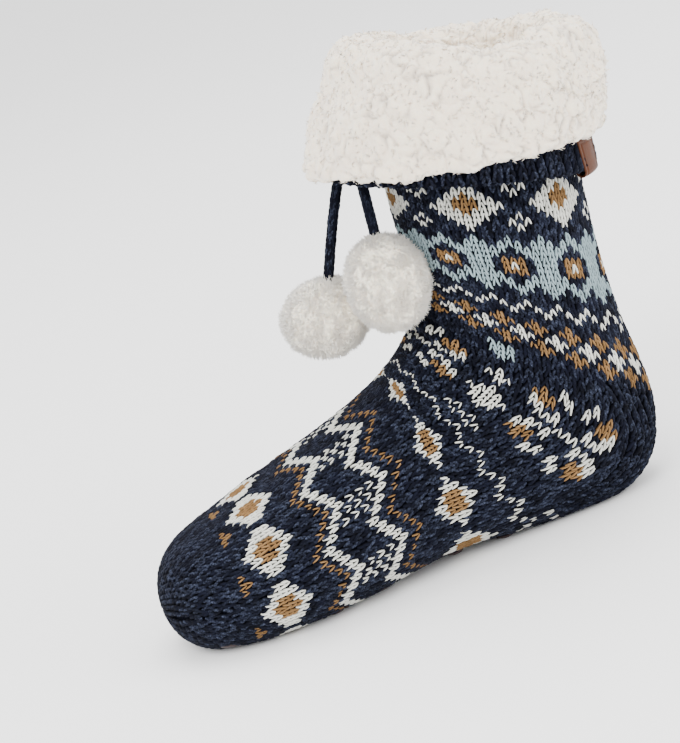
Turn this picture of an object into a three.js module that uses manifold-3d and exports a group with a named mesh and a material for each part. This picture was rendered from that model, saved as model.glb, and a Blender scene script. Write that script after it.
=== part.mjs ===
// Slipper sock: a knitted boot-shaped sock with a turned-down sherpa fleece cuff, a leather tab
// folded round the ribbed hem, two fur pompoms on knitted cords and round silicone grips under
// the sole. Millimetres, +Z up. The toe points to -X. The origin is on the floor under the
// middle of the heel. Left and right are alike.
import * as THREE from "three";
import Module from "manifold-3d";
import { mergeVertices } from "three/addons/utils/BufferGeometryUtils.js";

const wasm = await Module();
wasm.setup();

// Driving dimensions of the foot and leg.
const TOE_REACH = 200; // origin to toe tip
const BALL_WIDTH = 98; // widest, across the ball
const INSTEP_HEIGHT = 86; // top of the foot where the ankle bend starts
const ANKLE_HEIGHT = 100; // height that the heel and ankle sections follow
const HEEL_WIDTH = 77;
const LEG_DEPTH = 88; // front to back
const LEG_HEIGHT = 121; // from ANKLE_HEIGHT up to where the knit folds over
const LEG_TOP = ANKLE_HEIGHT + LEG_HEIGHT;
const LEG_LEAN = 10.5; // how far the top of the leg stands back of the ankle
const FRONT_RISE = 18; // how much higher the fold is at the leg's front than at its back
const KNIT_WALL = 3;

// Driving dimensions of the turned-down cuff.
const CLEARANCE = 0.3; // between pieces that meet
const FLEECE_CLEARANCE = 0.5; // between the fleece and the knit, whose facets bend
const HEM_DROP = 51; // from LEG_TOP down to the lower edge of the ribbed hem, at the sides
const HEM_HEIGHT = LEG_TOP - HEM_DROP;
const HEM_SWING = 4; // how much higher it is at the front, and lower at the back
const FOLD_GAP = 2.4; // between the leg and the folded layer, at the fold
const HEM_FLARE = 15.5; // mean stand-off of the hem from the leg
const HEM_SHIFT = 11.5; // how much more it stands off at the front, and less at the back
const RIB_SHOWING = 11; // hem left bare under the fleece, at the sides
const RIB_SWING = 8.5; // how much less shows at the front, and more at the back
const FLEECE_WALL = 9; // fleece lining inside the leg
const FLEECE_PILE = 12; // fleece outside, at its fullest
const FLEECE_CROWN = 13; // fleece above the fold of the knit
const CROWN_DIP = 6; // how much lower the crown is at the sides
const LINING_DEPTH = 70; // how far the cuff piece reaches down inside the leg
const PILE_BUMP = 1.3; // height of the clumps

// Driving dimensions of the trim.
const TAB_WIDTH = 19;
const TAB_REACH = 3; // how far the tab's outer leaf stops short of the fleece
const TAB_INNER_HEIGHT = 9;
const TAB_THICKNESS = 1.6;
const TAB_SLACK = 0.6; // between the tab and each side of the hem
const TAB_BEARING = 140; // degrees from the front, round the left side
const POMPOM_RADIUS = 15; // without its locks
const POMPOM_LOCKS = 56;
const LOCK_LENGTH = 4;
const LOCK_WIDTH = 8; // across the root of a lock
const LOCK_FREE = 26; // degrees round the cord's end with no locks
const CORD_DIAMETER = 5;
const GRIP_RADIUS = 4.6;
const GRIP_HEIGHT = 0.9;
const GRIP_BEVEL = 0.5;
const GRIP_PITCH = 12.7; // between rows, and half the distance between grips of a row
const GRIP_STEEPEST = 30; // degrees that the sole may turn up at a grip
const GRIP_LEVEL = 12; // degrees below which a grip is set level

const SIDES = 36; // points round the knit and the fleece
const SOLE_LIFT = GRIP_HEIGHT + CLEARANCE; // underside of the knit above the floor

// Sections of the foot, from the toe back. along is a share of TOE_REACH from the origin, top and
// sole are shares of INSTEP_HEIGHT and width is a share of BALL_WIDTH.
const TOE_TIP_HEIGHT = 0.25; // share of INSTEP_HEIGHT
const FOOT_SECTIONS = [
  { along: 0.992, top: 0.37, sole: 0.15, width: 0.29 },
  { along: 0.967, top: 0.475, sole: 0.06, width: 0.5 },
  { along: 0.922, top: 0.555, sole: 0.0, width: 0.69 },
  { along: 0.855, top: 0.615, sole: -0.02, width: 0.85 },
  { along: 0.765, top: 0.68, sole: -0.03, width: 0.955 },
  { along: 0.66, top: 0.755, sole: -0.03, width: 1.0 },
  { along: 0.55, top: 0.835, sole: -0.015, width: 0.975 },
  { along: 0.44, top: 0.925, sole: 0.012, width: 0.915 },
  { along: 0.35, top: 1.023, sole: 0.028, width: 0.865 },
];

// Sections that fan round the ankle and heel. front and back are shares of LEG_DEPTH from the
// origin, towards the heel; their heights are shares of ANKLE_HEIGHT and width is one of HEEL_WIDTH.
const ANKLE_SECTIONS = [
  { front: -0.75, frontHeight: 0.901, back: -0.57, backHeight: 0.02, width: 1.07 },
  { front: -0.707, frontHeight: 0.926, back: -0.37, backHeight: 0.0, width: 1.04 },
  { front: -0.667, frontHeight: 0.954, back: -0.17, backHeight: -0.015, width: 1.01 },
  { front: -0.63, frontHeight: 0.985, back: 0.03, backHeight: -0.02, width: 0.99 },
  { front: -0.597, frontHeight: 1.019, back: 0.22, backHeight: -0.015, width: 0.98 },
  { front: -0.566, frontHeight: 1.056, back: 0.38, backHeight: 0.03, width: 0.98 },
  { front: -0.541, frontHeight: 1.096, back: 0.495, backHeight: 0.12, width: 0.985 },
  { front: -0.519, frontHeight: 1.137, back: 0.56, backHeight: 0.25, width: 0.99 },
  { front: -0.502, frontHeight: 1.18, back: 0.58, backHeight: 0.4, width: 1.0 },
  { front: -0.491, frontHeight: 1.223, back: 0.572, backHeight: 0.55, width: 1.015 },
  { front: -0.483, frontHeight: 1.268, back: 0.55, backHeight: 0.7, width: 1.03 },
  { front: -0.481, frontHeight: 1.315, back: 0.526, backHeight: 0.85, width: 1.045 },
];

// Sections of the leg. front and back are shares of LEG_DEPTH, and the heights are shares of the
// way from ANKLE_HEIGHT up to LEG_TOP. The last ones are level.
const LEG_SECTIONS = [
  { front: -0.483, frontHeight: 0.33, back: 0.508, backHeight: 0.03, width: 1.06 },
  { front: -0.488, frontHeight: 0.41, back: 0.5, backHeight: 0.2, width: 1.08 },
  { front: -0.493, frontHeight: 0.5, back: 0.497, backHeight: 0.37, width: 1.09 },
  { front: -0.497, frontHeight: 0.61, back: 0.498, backHeight: 0.55, width: 1.095 },
  { front: -0.498, frontHeight: 0.73, back: 0.5, backHeight: 0.73, width: 1.1 },
];
const LEVEL_LEG = LEG_SECTIONS[LEG_SECTIONS.length - 1];

const TAU = 2 * Math.PI;
const mix = (a, b, share) => a + (b - a) * share;
const radians = (degrees) => (degrees * Math.PI) / 180;

// The share of the leg's lean and tilt that has come in at a height.
const LEAN_START = 0.8; // share of ANKLE_HEIGHT
function risen(height) {
  const start = LEAN_START * ANKLE_HEIGHT;
  return Math.max(0, (height - start) / (LEG_TOP - start));
}

// How far the leg has leant back at a height.
const lean = (height) => LEG_LEAN * risen(height) ** 2;

// Lifts what is in front of the leg's middle and lowers what is behind it.
const tipped = (x, height, share) => height - (FRONT_RISE / LEG_DEPTH) * share * (x - lean(height));

// A ring of points through a front (or top) point and a back (or sole) point, of a half width.
// Angle 0 is the front, and the ring runs round the left side, which faces -Y. The sole side is
// squarer than the top, and nothing reaches below the sole.
const ROUND = 2; // power of an ellipse
const SOLE_SQUARENESS = 0.6; // added to the power, where the ring is all foot
const TOP_SQUARENESS = 0.2;
function ring(front, back, halfWidth, soleShare) {
  const points = [];
  for (let i = 0; i < SIDES; i++) {
    const angle = (TAU * i) / SIDES;
    const [c, s] = [Math.cos(angle), Math.sin(angle)];
    const power = ROUND / (ROUND + (c < 0 ? SOLE_SQUARENESS : TOP_SQUARENESS) * soleShare);
    const down = (1 - Math.sign(c) * Math.abs(c) ** power) / 2;
    const across = Math.sign(s) * Math.abs(s) ** power;
    points.push(
      new THREE.Vector3(
        mix(front.x, back.x, down),
        -halfWidth * across,
        Math.max(SOLE_LIFT, mix(front.z, back.z, down)),
      ),
    );
  }
  return points;
}

function footRing(section) {
  const x = -section.along * TOE_REACH;
  return ring(
    { x, z: section.top * INSTEP_HEIGHT },
    { x, z: section.sole * INSTEP_HEIGHT },
    (section.width * BALL_WIDTH) / 2,
    1,
  );
}

function bentRing(section, height, soleShare) {
  const end = (share, heightShare) => {
    const level = height(heightShare);
    const x = share * LEG_DEPTH + lean(level);
    return { x, z: tipped(x, level, risen(level)) };
  };
  return ring(
    end(section.front, section.frontHeight),
    end(section.back, section.backHeight),
    (section.width * HEEL_WIDTH) / 2,
    soleShare,
  );
}

// The rings of the foot, the ankle and the leg, from the toe up.
const TOE_TIP = new THREE.Vector3(-TOE_REACH, 0, TOE_TIP_HEIGHT * INSTEP_HEIGHT);
const BODY = [
  ...FOOT_SECTIONS.map(footRing),
  ...ANKLE_SECTIONS.map((s, i) =>
    bentRing(s, (share) => share * ANKLE_HEIGHT, Math.max(0, 1 - i / (ANKLE_SECTIONS.length - 3))),
  ),
  ...LEG_SECTIONS.map((s) => bentRing(s, (share) => mix(ANKLE_HEIGHT, LEG_TOP, share), 0)),
];

// A point of the cuff, at an angle, a height and a stand-off from the straight top of the leg.
function cuffPoint(angle, height, off) {
  const middle = (LEVEL_LEG.front + LEVEL_LEG.back) / 2;
  const halfDepth = ((LEVEL_LEG.back - LEVEL_LEG.front) * LEG_DEPTH) / 2;
  const halfWidth = (LEVEL_LEG.width * HEEL_WIDTH) / 2;
  const x = middle * LEG_DEPTH + lean(height) - (halfDepth + off) * Math.cos(angle);
  return new THREE.Vector3(x, -(halfWidth + off) * Math.sin(angle), tipped(x, height, 1));
}

// A ring of the cuff, whose height and stand-off are functions of the angle.
function cuffRing(height, standOff) {
  const points = [];
  for (let i = 0; i < SIDES; i++) {
    const angle = (TAU * i) / SIDES;
    points.push(cuffPoint(angle, height(angle), standOff(angle)));
  }
  return points;
}
const levelRing = (height, off) => cuffRing(() => height, () => off);

// The body's rings moved inwards along the surface's normals.
function insetBody(distance) {
  return BODY.map((row, j) =>
    row.map((point, i) => {
      const before = j === 0 ? TOE_TIP : BODY[j - 1][i];
      const after = j === BODY.length - 1 ? point : BODY[j + 1][i];
      const along = new THREE.Vector3().subVectors(after, before);
      const round = new THREE.Vector3().subVectors(row[(i + 1) % SIDES], row[(i + SIDES - 1) % SIDES]);
      const inwards = along.cross(round).normalize();
      return point.clone().addScaledVector(inwards, distance);
    }),
  );
}

// One closed surface through a run of rings. Where start or end points are given, the ends are
// closed on them, and otherwise the last ring joins the first.
function skin(rings, start = null, end = null) {
  const count = rings[0].length;
  const vertices = rings.flat();
  const faces = [];
  const looped = start === null;
  const spans = looped ? rings.length : rings.length - 1;
  for (let j = 0; j < spans; j++) {
    const next = (j + 1) % rings.length;
    for (let i = 0; i < count; i++) {
      const [a, b] = [j * count + i, j * count + ((i + 1) % count)];
      const [c, d] = [next * count + i, next * count + ((i + 1) % count)];
      faces.push(a, b, d, a, d, c);
    }
  }
  if (!looped) {
    const [startIndex, endIndex] = [vertices.length, vertices.length + 1];
    vertices.push(start, end);
    const last = (rings.length - 1) * count;
    for (let i = 0; i < count; i++) {
      const next = (i + 1) % count;
      faces.push(startIndex, next, i);
      faces.push(endIndex, last + i, last + next);
    }
  }
  return geometryOf(vertices, faces);
}

function geometryOf(vertices, faces) {
  const geometry = new THREE.BufferGeometry();
  geometry.setAttribute("position", new THREE.Float32BufferAttribute(vertices.flatMap((v) => v.toArray()), 3));
  geometry.setIndex(faces);
  return geometry;
}

// Heights of the cuff at an angle, and the stand-off of the folded knit from the leg: small at
// the fold, flared at the hem.
const FOLD_HEIGHT = LEG_TOP - 2 * KNIT_WALL;
const hemAt = (angle) => HEM_HEIGHT + HEM_SWING * Math.cos(angle);
const fleeceHemAt = (angle) => hemAt(angle) + RIB_SHOWING - RIB_SWING * Math.cos(angle);
const downFold = (share) => (angle) => mix(FOLD_HEIGHT, hemAt(angle), share);
const crownAt = (angle) => LEG_TOP + FLEECE_CROWN - CROWN_DIP * Math.sin(angle) ** 2;

function flare(angle, height) {
  const down = Math.max(0, (FOLD_HEIGHT - height) / (FOLD_HEIGHT - hemAt(angle)));
  return mix(FOLD_GAP, HEM_FLARE + HEM_SHIFT * Math.cos(angle), down);
}

// A ring that stands off the folded knit's inner side, or its outer side and more.
const folded = (height, extra) => cuffRing(height, (angle) => flare(angle, height(angle)) + extra(angle));
const same = (value) => () => value;

// The knit is one hollow wall: up the outside from the toe, into the pocket under the cuff, down to
// the hem and back up over the fold, and down the inside to the toe again.
const FOLD_SHARES = [0, 0.35, 0.7, 1]; // rings of the folded layer, from the fold to the hem
function knitUpper() {
  const outside = [
    ...BODY,
    levelRing(FOLD_HEIGHT, 0),
    levelRing(FOLD_HEIGHT + KNIT_WALL / 2, FOLD_GAP / 2),
    ...FOLD_SHARES.map((share) => folded(downFold(share), same(0))),
    ...FOLD_SHARES.map((share) => folded(downFold(share), same(KNIT_WALL))).reverse(),
    levelRing(LEG_TOP, FOLD_GAP / 2),
  ];
  const inside = [levelRing(FOLD_HEIGHT, -KNIT_WALL), ...insetBody(KNIT_WALL).reverse()];
  const innerTip = TOE_TIP.clone().setX(TOE_TIP.x + KNIT_WALL);
  return skin([...outside, ...inside], TOE_TIP, innerTip);
}

// Clumps of the fleece: a smooth bumpy wave round and along the cuff, of unit height.
function clumps(angle, height) {
  const first = Math.sin(11 * angle + 0.31 * height) * Math.cos(7 * angle - 0.43 * height);
  const second = Math.sin(17 * angle + 1.3) * Math.cos(0.56 * height + 3 * angle);
  return 0.6 * first + 0.4 * second;
}

// The lining's rings inside the leg, from LINING_DEPTH below the fold up, inset by a distance.
function liningRings(distance) {
  const rows = insetBody(distance);
  const end = LEG_TOP - LINING_DEPTH;
  const above = BODY.findIndex((row, j) => j > FOOT_SECTIONS.length && row[SIDES / 2].z > end);
  const [low, high] = [BODY[above - 1][SIDES / 2].z, BODY[above][SIDES / 2].z];
  const share = (end - low) / (high - low);
  const first = rows[above - 1].map((point, i) => point.clone().lerp(rows[above][i], share));
  return [first, ...rows.slice(above)];
}

// Rings over the pile of the outer fleece, from its hem up: where each is, as a share of the way
// from the fleece's hem to the fold, and how much of FLEECE_PILE stands there.
const PILE_SECTIONS = [
  { up: -0.03, pile: 0.3 },
  { up: 0.04, pile: 0.58 },
  { up: 0.3, pile: 0.8 },
  { up: 0.65, pile: 0.98 },
  { up: 1.0, pile: 1.04 },
];

// Rings over the crown, from the outside in: the height as a share of the way from the fold to the
// crown, and the stand-off from the middle of the fold, out in FLEECE_PILE and in in FLEECE_WALL.
const CROWN_SECTIONS = [
  { up: 0.4, out: 1.2, in: 0 },
  { up: 0.8, out: 0.85, in: 0 },
  { up: 1.0, out: 0.35, in: 0 },
  { up: 0.97, out: 0, in: 0.5 },
  { up: 0.7, out: 0, in: 1.15 },
  { up: 0.2, out: 0, in: 1.4 },
];

// The fleece is one piece: the lining inside the leg, over the fold of the knit and down the
// outside to its own hem, fuller at the top than at the hem.
function fleeceCuff() {
  const backing = KNIT_WALL + FLEECE_CLEARANCE;
  const bump = (angle, height) => PILE_BUMP * clumps(angle, height);
  const pileRing = (section) => {
    const height = (angle) => mix(fleeceHemAt(angle), FOLD_HEIGHT, section.up);
    return folded(height, (angle) => backing + section.pile * FLEECE_PILE + bump(angle, height(angle)));
  };
  const crownRing = (section) => {
    const height = (angle) => mix(FOLD_HEIGHT, crownAt(angle), section.up);
    const off = FOLD_GAP / 2 + section.out * FLEECE_PILE - section.in * FLEECE_WALL;
    return cuffRing(height, (angle) => off + bump(angle, height(angle)));
  };
  const backed = FOLD_SHARES.filter((share) => downFold(share)(0) > fleeceHemAt(0) + KNIT_WALL);
  const rings = [
    ...liningRings(backing),
    levelRing(FOLD_HEIGHT, -backing),
    levelRing(LEG_TOP + FLEECE_CLEARANCE, FOLD_GAP / 2),
    ...backed.map((share) => folded(downFold(share), same(backing))),
    folded(fleeceHemAt, same(backing)),
    ...PILE_SECTIONS.map(pileRing),
    ...CROWN_SECTIONS.map(crownRing),
    ...liningRings(backing + FLEECE_WALL).reverse(),
  ];
  return skin(rings);
}

// The tab is a strip of leather folded round the hem and curved with it: a run of thin closed
// sections, down the outer leaf, round under the hem and up the inner leaf.
function leatherTab() {
  const bearing = radians(TAB_BEARING);
  const gap = KNIT_WALL / 2 + TAB_SLACK;
  const low = hemAt(bearing);
  const outerTop = fleeceHemAt(bearing) - low - TAB_REACH;
  const bends = 6; // steps of the strip round under the hem
  const path = [
    { side: 1, up: outerTop },
    { side: 1, up: outerTop / 2 },
    ...Array.from({ length: bends + 1 }, (_, i) => {
      const turn = (Math.PI * i) / bends;
      return { side: Math.cos(turn), up: -gap * Math.sin(turn), turn };
    }),
    { side: -1, up: TAB_INNER_HEIGHT / 2 },
    { side: -1, up: TAB_INNER_HEIGHT },
  ];
  const across = 4; // steps across the strip
  const radius = LEG_DEPTH / 2 + HEM_FLARE + HEM_SHIFT * Math.cos(bearing);
  const spread = Array.from({ length: across + 1 }, (_, k) => bearing + ((k / across - 0.5) * TAB_WIDTH) / radius);
  const point = (angle, step, away) => {
    const turn = step.turn ?? (step.side > 0 ? 0 : Math.PI);
    const up = step.up - away * Math.sin(turn);
    const off = gap * step.side + away * Math.cos(turn);
    const wall = KNIT_WALL / 2 + flare(angle, low + Math.max(0, step.up));
    return cuffPoint(angle, low + up, wall + off);
  };
  const rings = path.map((step) => [
    ...spread.map((angle) => point(angle, step, 0)),
    ...spread.map((angle) => point(angle, step, TAB_THICKNESS)).reverse(),
  ]);
  const middle = (step) => point(bearing, step, TAB_THICKNESS / 2);
  return skin(rings, middle(path[0]), middle(path[path.length - 1]));
}

// A closed three.js geometry as a manifold solid, and back.
function solidOf(geometry) {
  const bare = geometry.index ? geometry.toNonIndexed() : geometry.clone();
  bare.deleteAttribute("normal");
  bare.deleteAttribute("uv");
  const merged = mergeVertices(bare, 1e-3);
  return new wasm.Manifold(
    new wasm.Mesh({
      numProp: 3,
      vertProperties: merged.attributes.position.array,
      triVerts: new Uint32Array(merged.index.array),
    }),
  );
}

function geometryFrom(solid) {
  const mesh = solid.getMesh();
  const geometry = new THREE.BufferGeometry();
  geometry.setAttribute("position", new THREE.Float32BufferAttribute(mesh.vertProperties, 3));
  geometry.setIndex(Array.from(mesh.triVerts));
  return geometry;
}

// A pompom is a ball with tapered locks of fur fused on, spread evenly by the golden angle, and
// none where the cord meets it.
function pompom(toCord) {
  const golden = Math.PI * (3 - Math.sqrt(5));
  let solid = solidOf(new THREE.IcosahedronGeometry(POMPOM_RADIUS, 2));
  const upright = new THREE.Vector3(0, 1, 0);
  for (let i = 0; i < POMPOM_LOCKS; i++) {
    const z = 1 - (2 * i + 1) / POMPOM_LOCKS;
    const across = Math.sqrt(1 - z * z);
    const way = new THREE.Vector3(across * Math.cos(golden * i), across * Math.sin(golden * i), z);
    if (way.angleTo(toCord) < radians(LOCK_FREE)) continue;
    const lock = new THREE.ConeGeometry(LOCK_WIDTH / 2, 2 * LOCK_LENGTH, 4);
    lock.applyQuaternion(new THREE.Quaternion().setFromUnitVectors(upright, way));
    lock.translate(...way.multiplyScalar(POMPOM_RADIUS).toArray());
    solid = solid.add(solidOf(lock));
  }
  return geometryFrom(solid);
}

// Each cord leaves the front of the leg inside the pocket of the cuff, bends over and hangs. Its
// points are chosen by hand: x from the leg's front, y, and z from the hem's height.
const LEG_FRONT = LEVEL_LEG.front * LEG_DEPTH + LEG_LEAN / 2;
const CORD_ROUTES = {
  pompom_cord_near: [
    [1.5, -7, 28], [-3.2, -7.2, 28.6], [-7.8, -7.8, 26.9], [-11.2, -8.8, 22.6], [-13.2, -10, 16.6],
    [-14.3, -11.4, 10], [-15, -12.8, 3], [-15.6, -14.2, -4], [-16.2, -15.4, -11], [-16.7, -16.4, -17.5],
  ],
  pompom_cord_far: [
    [1.5, 5.5, 28], [-3.2, 5.6, 28.8], [-8.4, 5.7, 27.6], [-13.4, 5.7, 24.2], [-17.9, 5.7, 19.2],
    [-21.8, 5.7, 12.8], [-25.3, 5.6, 5.8], [-28.6, 5.5, -1.4], [-31.7, 5.4, -8.6], [-34.7, 5.3, -15.8],
    [-37.6, 5.2, -23], [-40.4, 5.1, -30.2],
  ],
};
const CORD_SIDES = 8;

function cordCurve(name) {
  return new THREE.CatmullRomCurve3(
    CORD_ROUTES[name].map(([x, y, z]) => new THREE.Vector3(LEG_FRONT + x, y, HEM_HEIGHT + z)),
    false,
    "centripetal",
  );
}

function cord(name) {
  const curve = cordCurve(name);
  const section = new THREE.Shape();
  for (let i = 0; i < CORD_SIDES; i++) {
    const angle = (TAU * i) / CORD_SIDES;
    const [x, y] = [(CORD_DIAMETER / 2) * Math.cos(angle), (CORD_DIAMETER / 2) * Math.sin(angle)];
    if (i === 0) section.moveTo(x, y);
    else section.lineTo(x, y);
  }
  section.closePath();
  const steps = Math.ceil(curve.getLength() / CORD_DIAMETER);
  return new THREE.ExtrudeGeometry(section, { steps, bevelEnabled: false, extrudePath: curve });
}

// A pompom's middle lies beyond the end of its cord, so that the ball meets the cord's end.
function pompomPlace(name) {
  const curve = cordCurve(name);
  const reach = POMPOM_RADIUS + CLEARANCE;
  return curve.getPoint(1).addScaledVector(curve.getTangent(1), reach);
}

// Grips: low round buttons, flat below, in rows staggered by half their spacing over the sole.
function gripGeometry() {
  const profile = [
    [0, 0], [GRIP_RADIUS - GRIP_BEVEL, 0], [GRIP_RADIUS, GRIP_BEVEL], [GRIP_RADIUS, GRIP_HEIGHT], [0, GRIP_HEIGHT],
  ];
  const geometry = new THREE.LatheGeometry(profile.map(([x, y]) => new THREE.Vector2(x, y)), 10);
  geometry.rotateX(Math.PI / 2);
  return geometry;
}

// Where the grips go: on the underside of the knit, as far out as it faces down. One that sits on
// the sole's flat, or nearly, is level, and so is one that would reach below the floor.
const RIM_POINTS = 12; // places round a grip's rim where its clearance is measured
function gripSeats(upper) {
  const ray = new THREE.Raycaster();
  const below = new THREE.Vector3(0, 0, -1);
  const underside = (x, y) => {
    ray.set(new THREE.Vector3(x, y, -TOE_REACH), below.clone().negate());
    return ray.intersectObject(upper)[0];
  };

  // The middle of a grip's lower face, so that its whole upper face clears the knit.
  const seat = (hit, normal) => {
    const rim = Array.from({ length: RIM_POINTS }, (_, i) => {
      const angle = (TAU * i) / RIM_POINTS;
      const [x, y] = [GRIP_RADIUS * Math.cos(angle), GRIP_RADIUS * Math.sin(angle)];
      return underside(hit.point.x + x, hit.point.y + y);
    });
    const depths = rim.filter(Boolean).map(({ point }) => point.clone().sub(hit.point).dot(normal));
    return hit.point.clone().addScaledVector(normal, SOLE_LIFT + Math.max(0, ...depths));
  };

  const rowReach = Math.floor(BALL_WIDTH / 2 / GRIP_PITCH);
  const seats = [];
  for (let row = Math.ceil(-LEG_DEPTH / 2 / GRIP_PITCH); row * GRIP_PITCH < TOE_REACH; row++) {
    for (let column = -rowReach; column <= rowReach; column++) {
      if ((row + column) % 2 !== 0) continue;
      const hit = underside(-row * GRIP_PITCH, column * GRIP_PITCH);
      if (!hit || hit.point.z > GRIP_PITCH) continue;
      const slope = Math.acos(-hit.face.normal.z);
      if (slope > radians(GRIP_STEEPEST)) continue;
      const tilted = seat(hit, hit.face.normal);
      const level = slope < radians(GRIP_LEVEL) || tilted.z < GRIP_RADIUS * Math.sin(slope);
      if (level) seats.push({ place: seat(hit, below), normal: below.clone() });
      else seats.push({ place: tilted, normal: hit.face.normal.clone() });
    }
  }
  return seats;
}

function finish(color, roughness) {
  return new THREE.MeshStandardMaterial({ color, roughness, metalness: 0 });
}
const NAVY_KNIT = finish(0x232a42, 0.95);
const CREAM_FLEECE = finish(0xece6da, 1.0);
const TAN_LEATHER = finish(0x7b3d1e, 0.55);
const BROWN_SILICONE = finish(0x2c1e1c, 0.4);

function piece(name, geometry, material) {
  const mesh = new THREE.Mesh(geometry, material);
  mesh.name = name;
  return mesh;
}

const sock = new THREE.Group();
const upper = piece("knit_upper", knitUpper(), NAVY_KNIT);
sock.add(upper);
sock.add(piece("fleece_cuff", fleeceCuff(), CREAM_FLEECE));
sock.add(piece("leather_tab", leatherTab(), TAN_LEATHER));

const POMPOMS = { pompom_cord_near: "pompom_near", pompom_cord_far: "pompom_far" };
for (const [cordName, pompomName] of Object.entries(POMPOMS)) {
  sock.add(piece(cordName, cord(cordName), NAVY_KNIT));
  const ball = piece(pompomName, pompom(cordCurve(cordName).getTangent(1).negate()), CREAM_FLEECE);
  ball.position.copy(pompomPlace(cordName));
  sock.add(ball);
}

upper.updateMatrixWorld(true);
const down = new THREE.Vector3(0, 0, -1);
gripSeats(upper).forEach(({ place, normal }, i) => {
  const grip = piece(`grip_${String(i + 1).padStart(2, "0")}`, gripGeometry(), BROWN_SILICONE);
  grip.position.copy(place);
  grip.quaternion.setFromUnitVectors(down, normal);
  sock.add(grip);
});

export default sock;
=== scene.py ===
"""Dresses a slipper sock round its construction model: stranded knitting, sherpa cuff, trim and grips."""

import math

import bmesh
import bpy
import numpy as np
from bpy.props import FloatProperty, FloatVectorProperty, IntProperty, PointerProperty
from mathutils import Matrix, Vector, noise


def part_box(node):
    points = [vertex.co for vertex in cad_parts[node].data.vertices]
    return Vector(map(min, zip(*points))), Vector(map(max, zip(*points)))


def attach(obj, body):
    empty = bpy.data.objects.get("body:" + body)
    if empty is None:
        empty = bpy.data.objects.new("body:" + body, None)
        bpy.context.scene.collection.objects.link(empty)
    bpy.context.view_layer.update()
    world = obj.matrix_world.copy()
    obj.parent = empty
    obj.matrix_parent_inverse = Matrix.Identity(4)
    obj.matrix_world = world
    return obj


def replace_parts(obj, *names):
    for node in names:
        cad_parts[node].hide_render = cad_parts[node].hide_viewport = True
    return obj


bl_info = {
    "name": "Slipper Sock Dresser",
    "version": (1, 0, 0),
    "blender": (4, 5, 0),
    "location": "View3D > Sidebar > Slipper Sock",
    "description": "Knits, furs and lights a slipper sock round its construction model",
    "category": "Object",
}

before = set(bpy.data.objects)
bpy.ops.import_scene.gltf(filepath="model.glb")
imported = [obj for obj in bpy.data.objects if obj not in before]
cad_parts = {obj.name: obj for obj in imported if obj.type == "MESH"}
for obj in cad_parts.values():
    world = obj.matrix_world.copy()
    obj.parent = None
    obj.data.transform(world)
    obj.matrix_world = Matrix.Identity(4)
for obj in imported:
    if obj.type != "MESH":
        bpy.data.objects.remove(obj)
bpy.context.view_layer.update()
MM = 0.001  # lengths below are millimetres unless a name says otherwise
SEED = 11

# Sizes of the knitted form, as the construction model has them.
TOE_REACH = 200  # of the toe's tip in front of the heel's middle
BALL_WIDTH = 98
INSTEP_HEIGHT = 86
ANKLE_HEIGHT = 100
HEEL_WIDTH = 77
LEG_DEPTH = 88
LEG_TOP = 221
LEG_LEAN = 10.5  # how far back the leg's top leans
LEAN_START = 0.8  # of the ankle's height, where the lean begins
FRONT_RISE = 18  # how much higher the leg's front stands than its back
KNIT_WALL = 3
SOLE_LIFT = 1.2  # underside of the knit above the floor
LOWEST_KNIT = SOLE_LIFT - 0.1
ROUND = 2  # power of a round section
SOLE_SQUARENESS = 0.6  # added to it under the foot
TOP_SQUARENESS = 0.2  # and over the foot
HEM_HEIGHT = 170
HEM_SWING = 4  # how much higher the hem is at the front than at the sides
FOLD_GAP = 2.4  # between the leg and the folded layer, at the fold
HEM_FLARE = 15.5  # and at the hem's sides
HEM_SHIFT = 11.5  # how much more that is at the front
RIB_SHOWING = 11  # of the hem under the fleece, at the sides
RIB_SWING = 8.5  # how much less shows at the front
FLEECE_WALL = 9
FLEECE_PILE = 12
FLEECE_CROWN = 13  # fleece over the leg's top
CROWN_DIP = 6  # how much lower that is at the sides
LINING_DEPTH = 70
FOLD_HEIGHT = LEG_TOP - 2 * KNIT_WALL

# Shares of TOE_REACH, INSTEP_HEIGHT and BALL_WIDTH, from the toe back: along, top, sole, width.
TOE_TIP_HEIGHT = 0.25
FOOT_SECTIONS = (
    (0.992, 0.37, 0.15, 0.29),
    (0.967, 0.475, 0.06, 0.5),
    (0.922, 0.555, 0.0, 0.69),
    (0.855, 0.615, -0.02, 0.85),
    (0.765, 0.68, -0.03, 0.955),
    (0.66, 0.755, -0.03, 1.0),
    (0.55, 0.835, -0.015, 0.975),
    (0.44, 0.925, 0.012, 0.915),
    (0.35, 1.023, 0.028, 0.865),
)

# Shares of LEG_DEPTH, ANKLE_HEIGHT and HEEL_WIDTH: front, its height, back, its height, width.
ANKLE_SECTIONS = (
    (-0.75, 0.901, -0.57, 0.02, 1.07),
    (-0.707, 0.926, -0.37, 0.0, 1.04),
    (-0.667, 0.954, -0.17, -0.015, 1.01),
    (-0.63, 0.985, 0.03, -0.02, 0.99),
    (-0.597, 1.019, 0.22, -0.015, 0.98),
    (-0.566, 1.056, 0.38, 0.03, 0.98),
    (-0.541, 1.096, 0.495, 0.12, 0.985),
    (-0.519, 1.137, 0.56, 0.25, 0.99),
    (-0.502, 1.18, 0.58, 0.4, 1.0),
    (-0.491, 1.223, 0.572, 0.55, 1.015),
    (-0.483, 1.268, 0.55, 0.7, 1.03),
    (-0.481, 1.315, 0.526, 0.85, 1.045),
)

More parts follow.
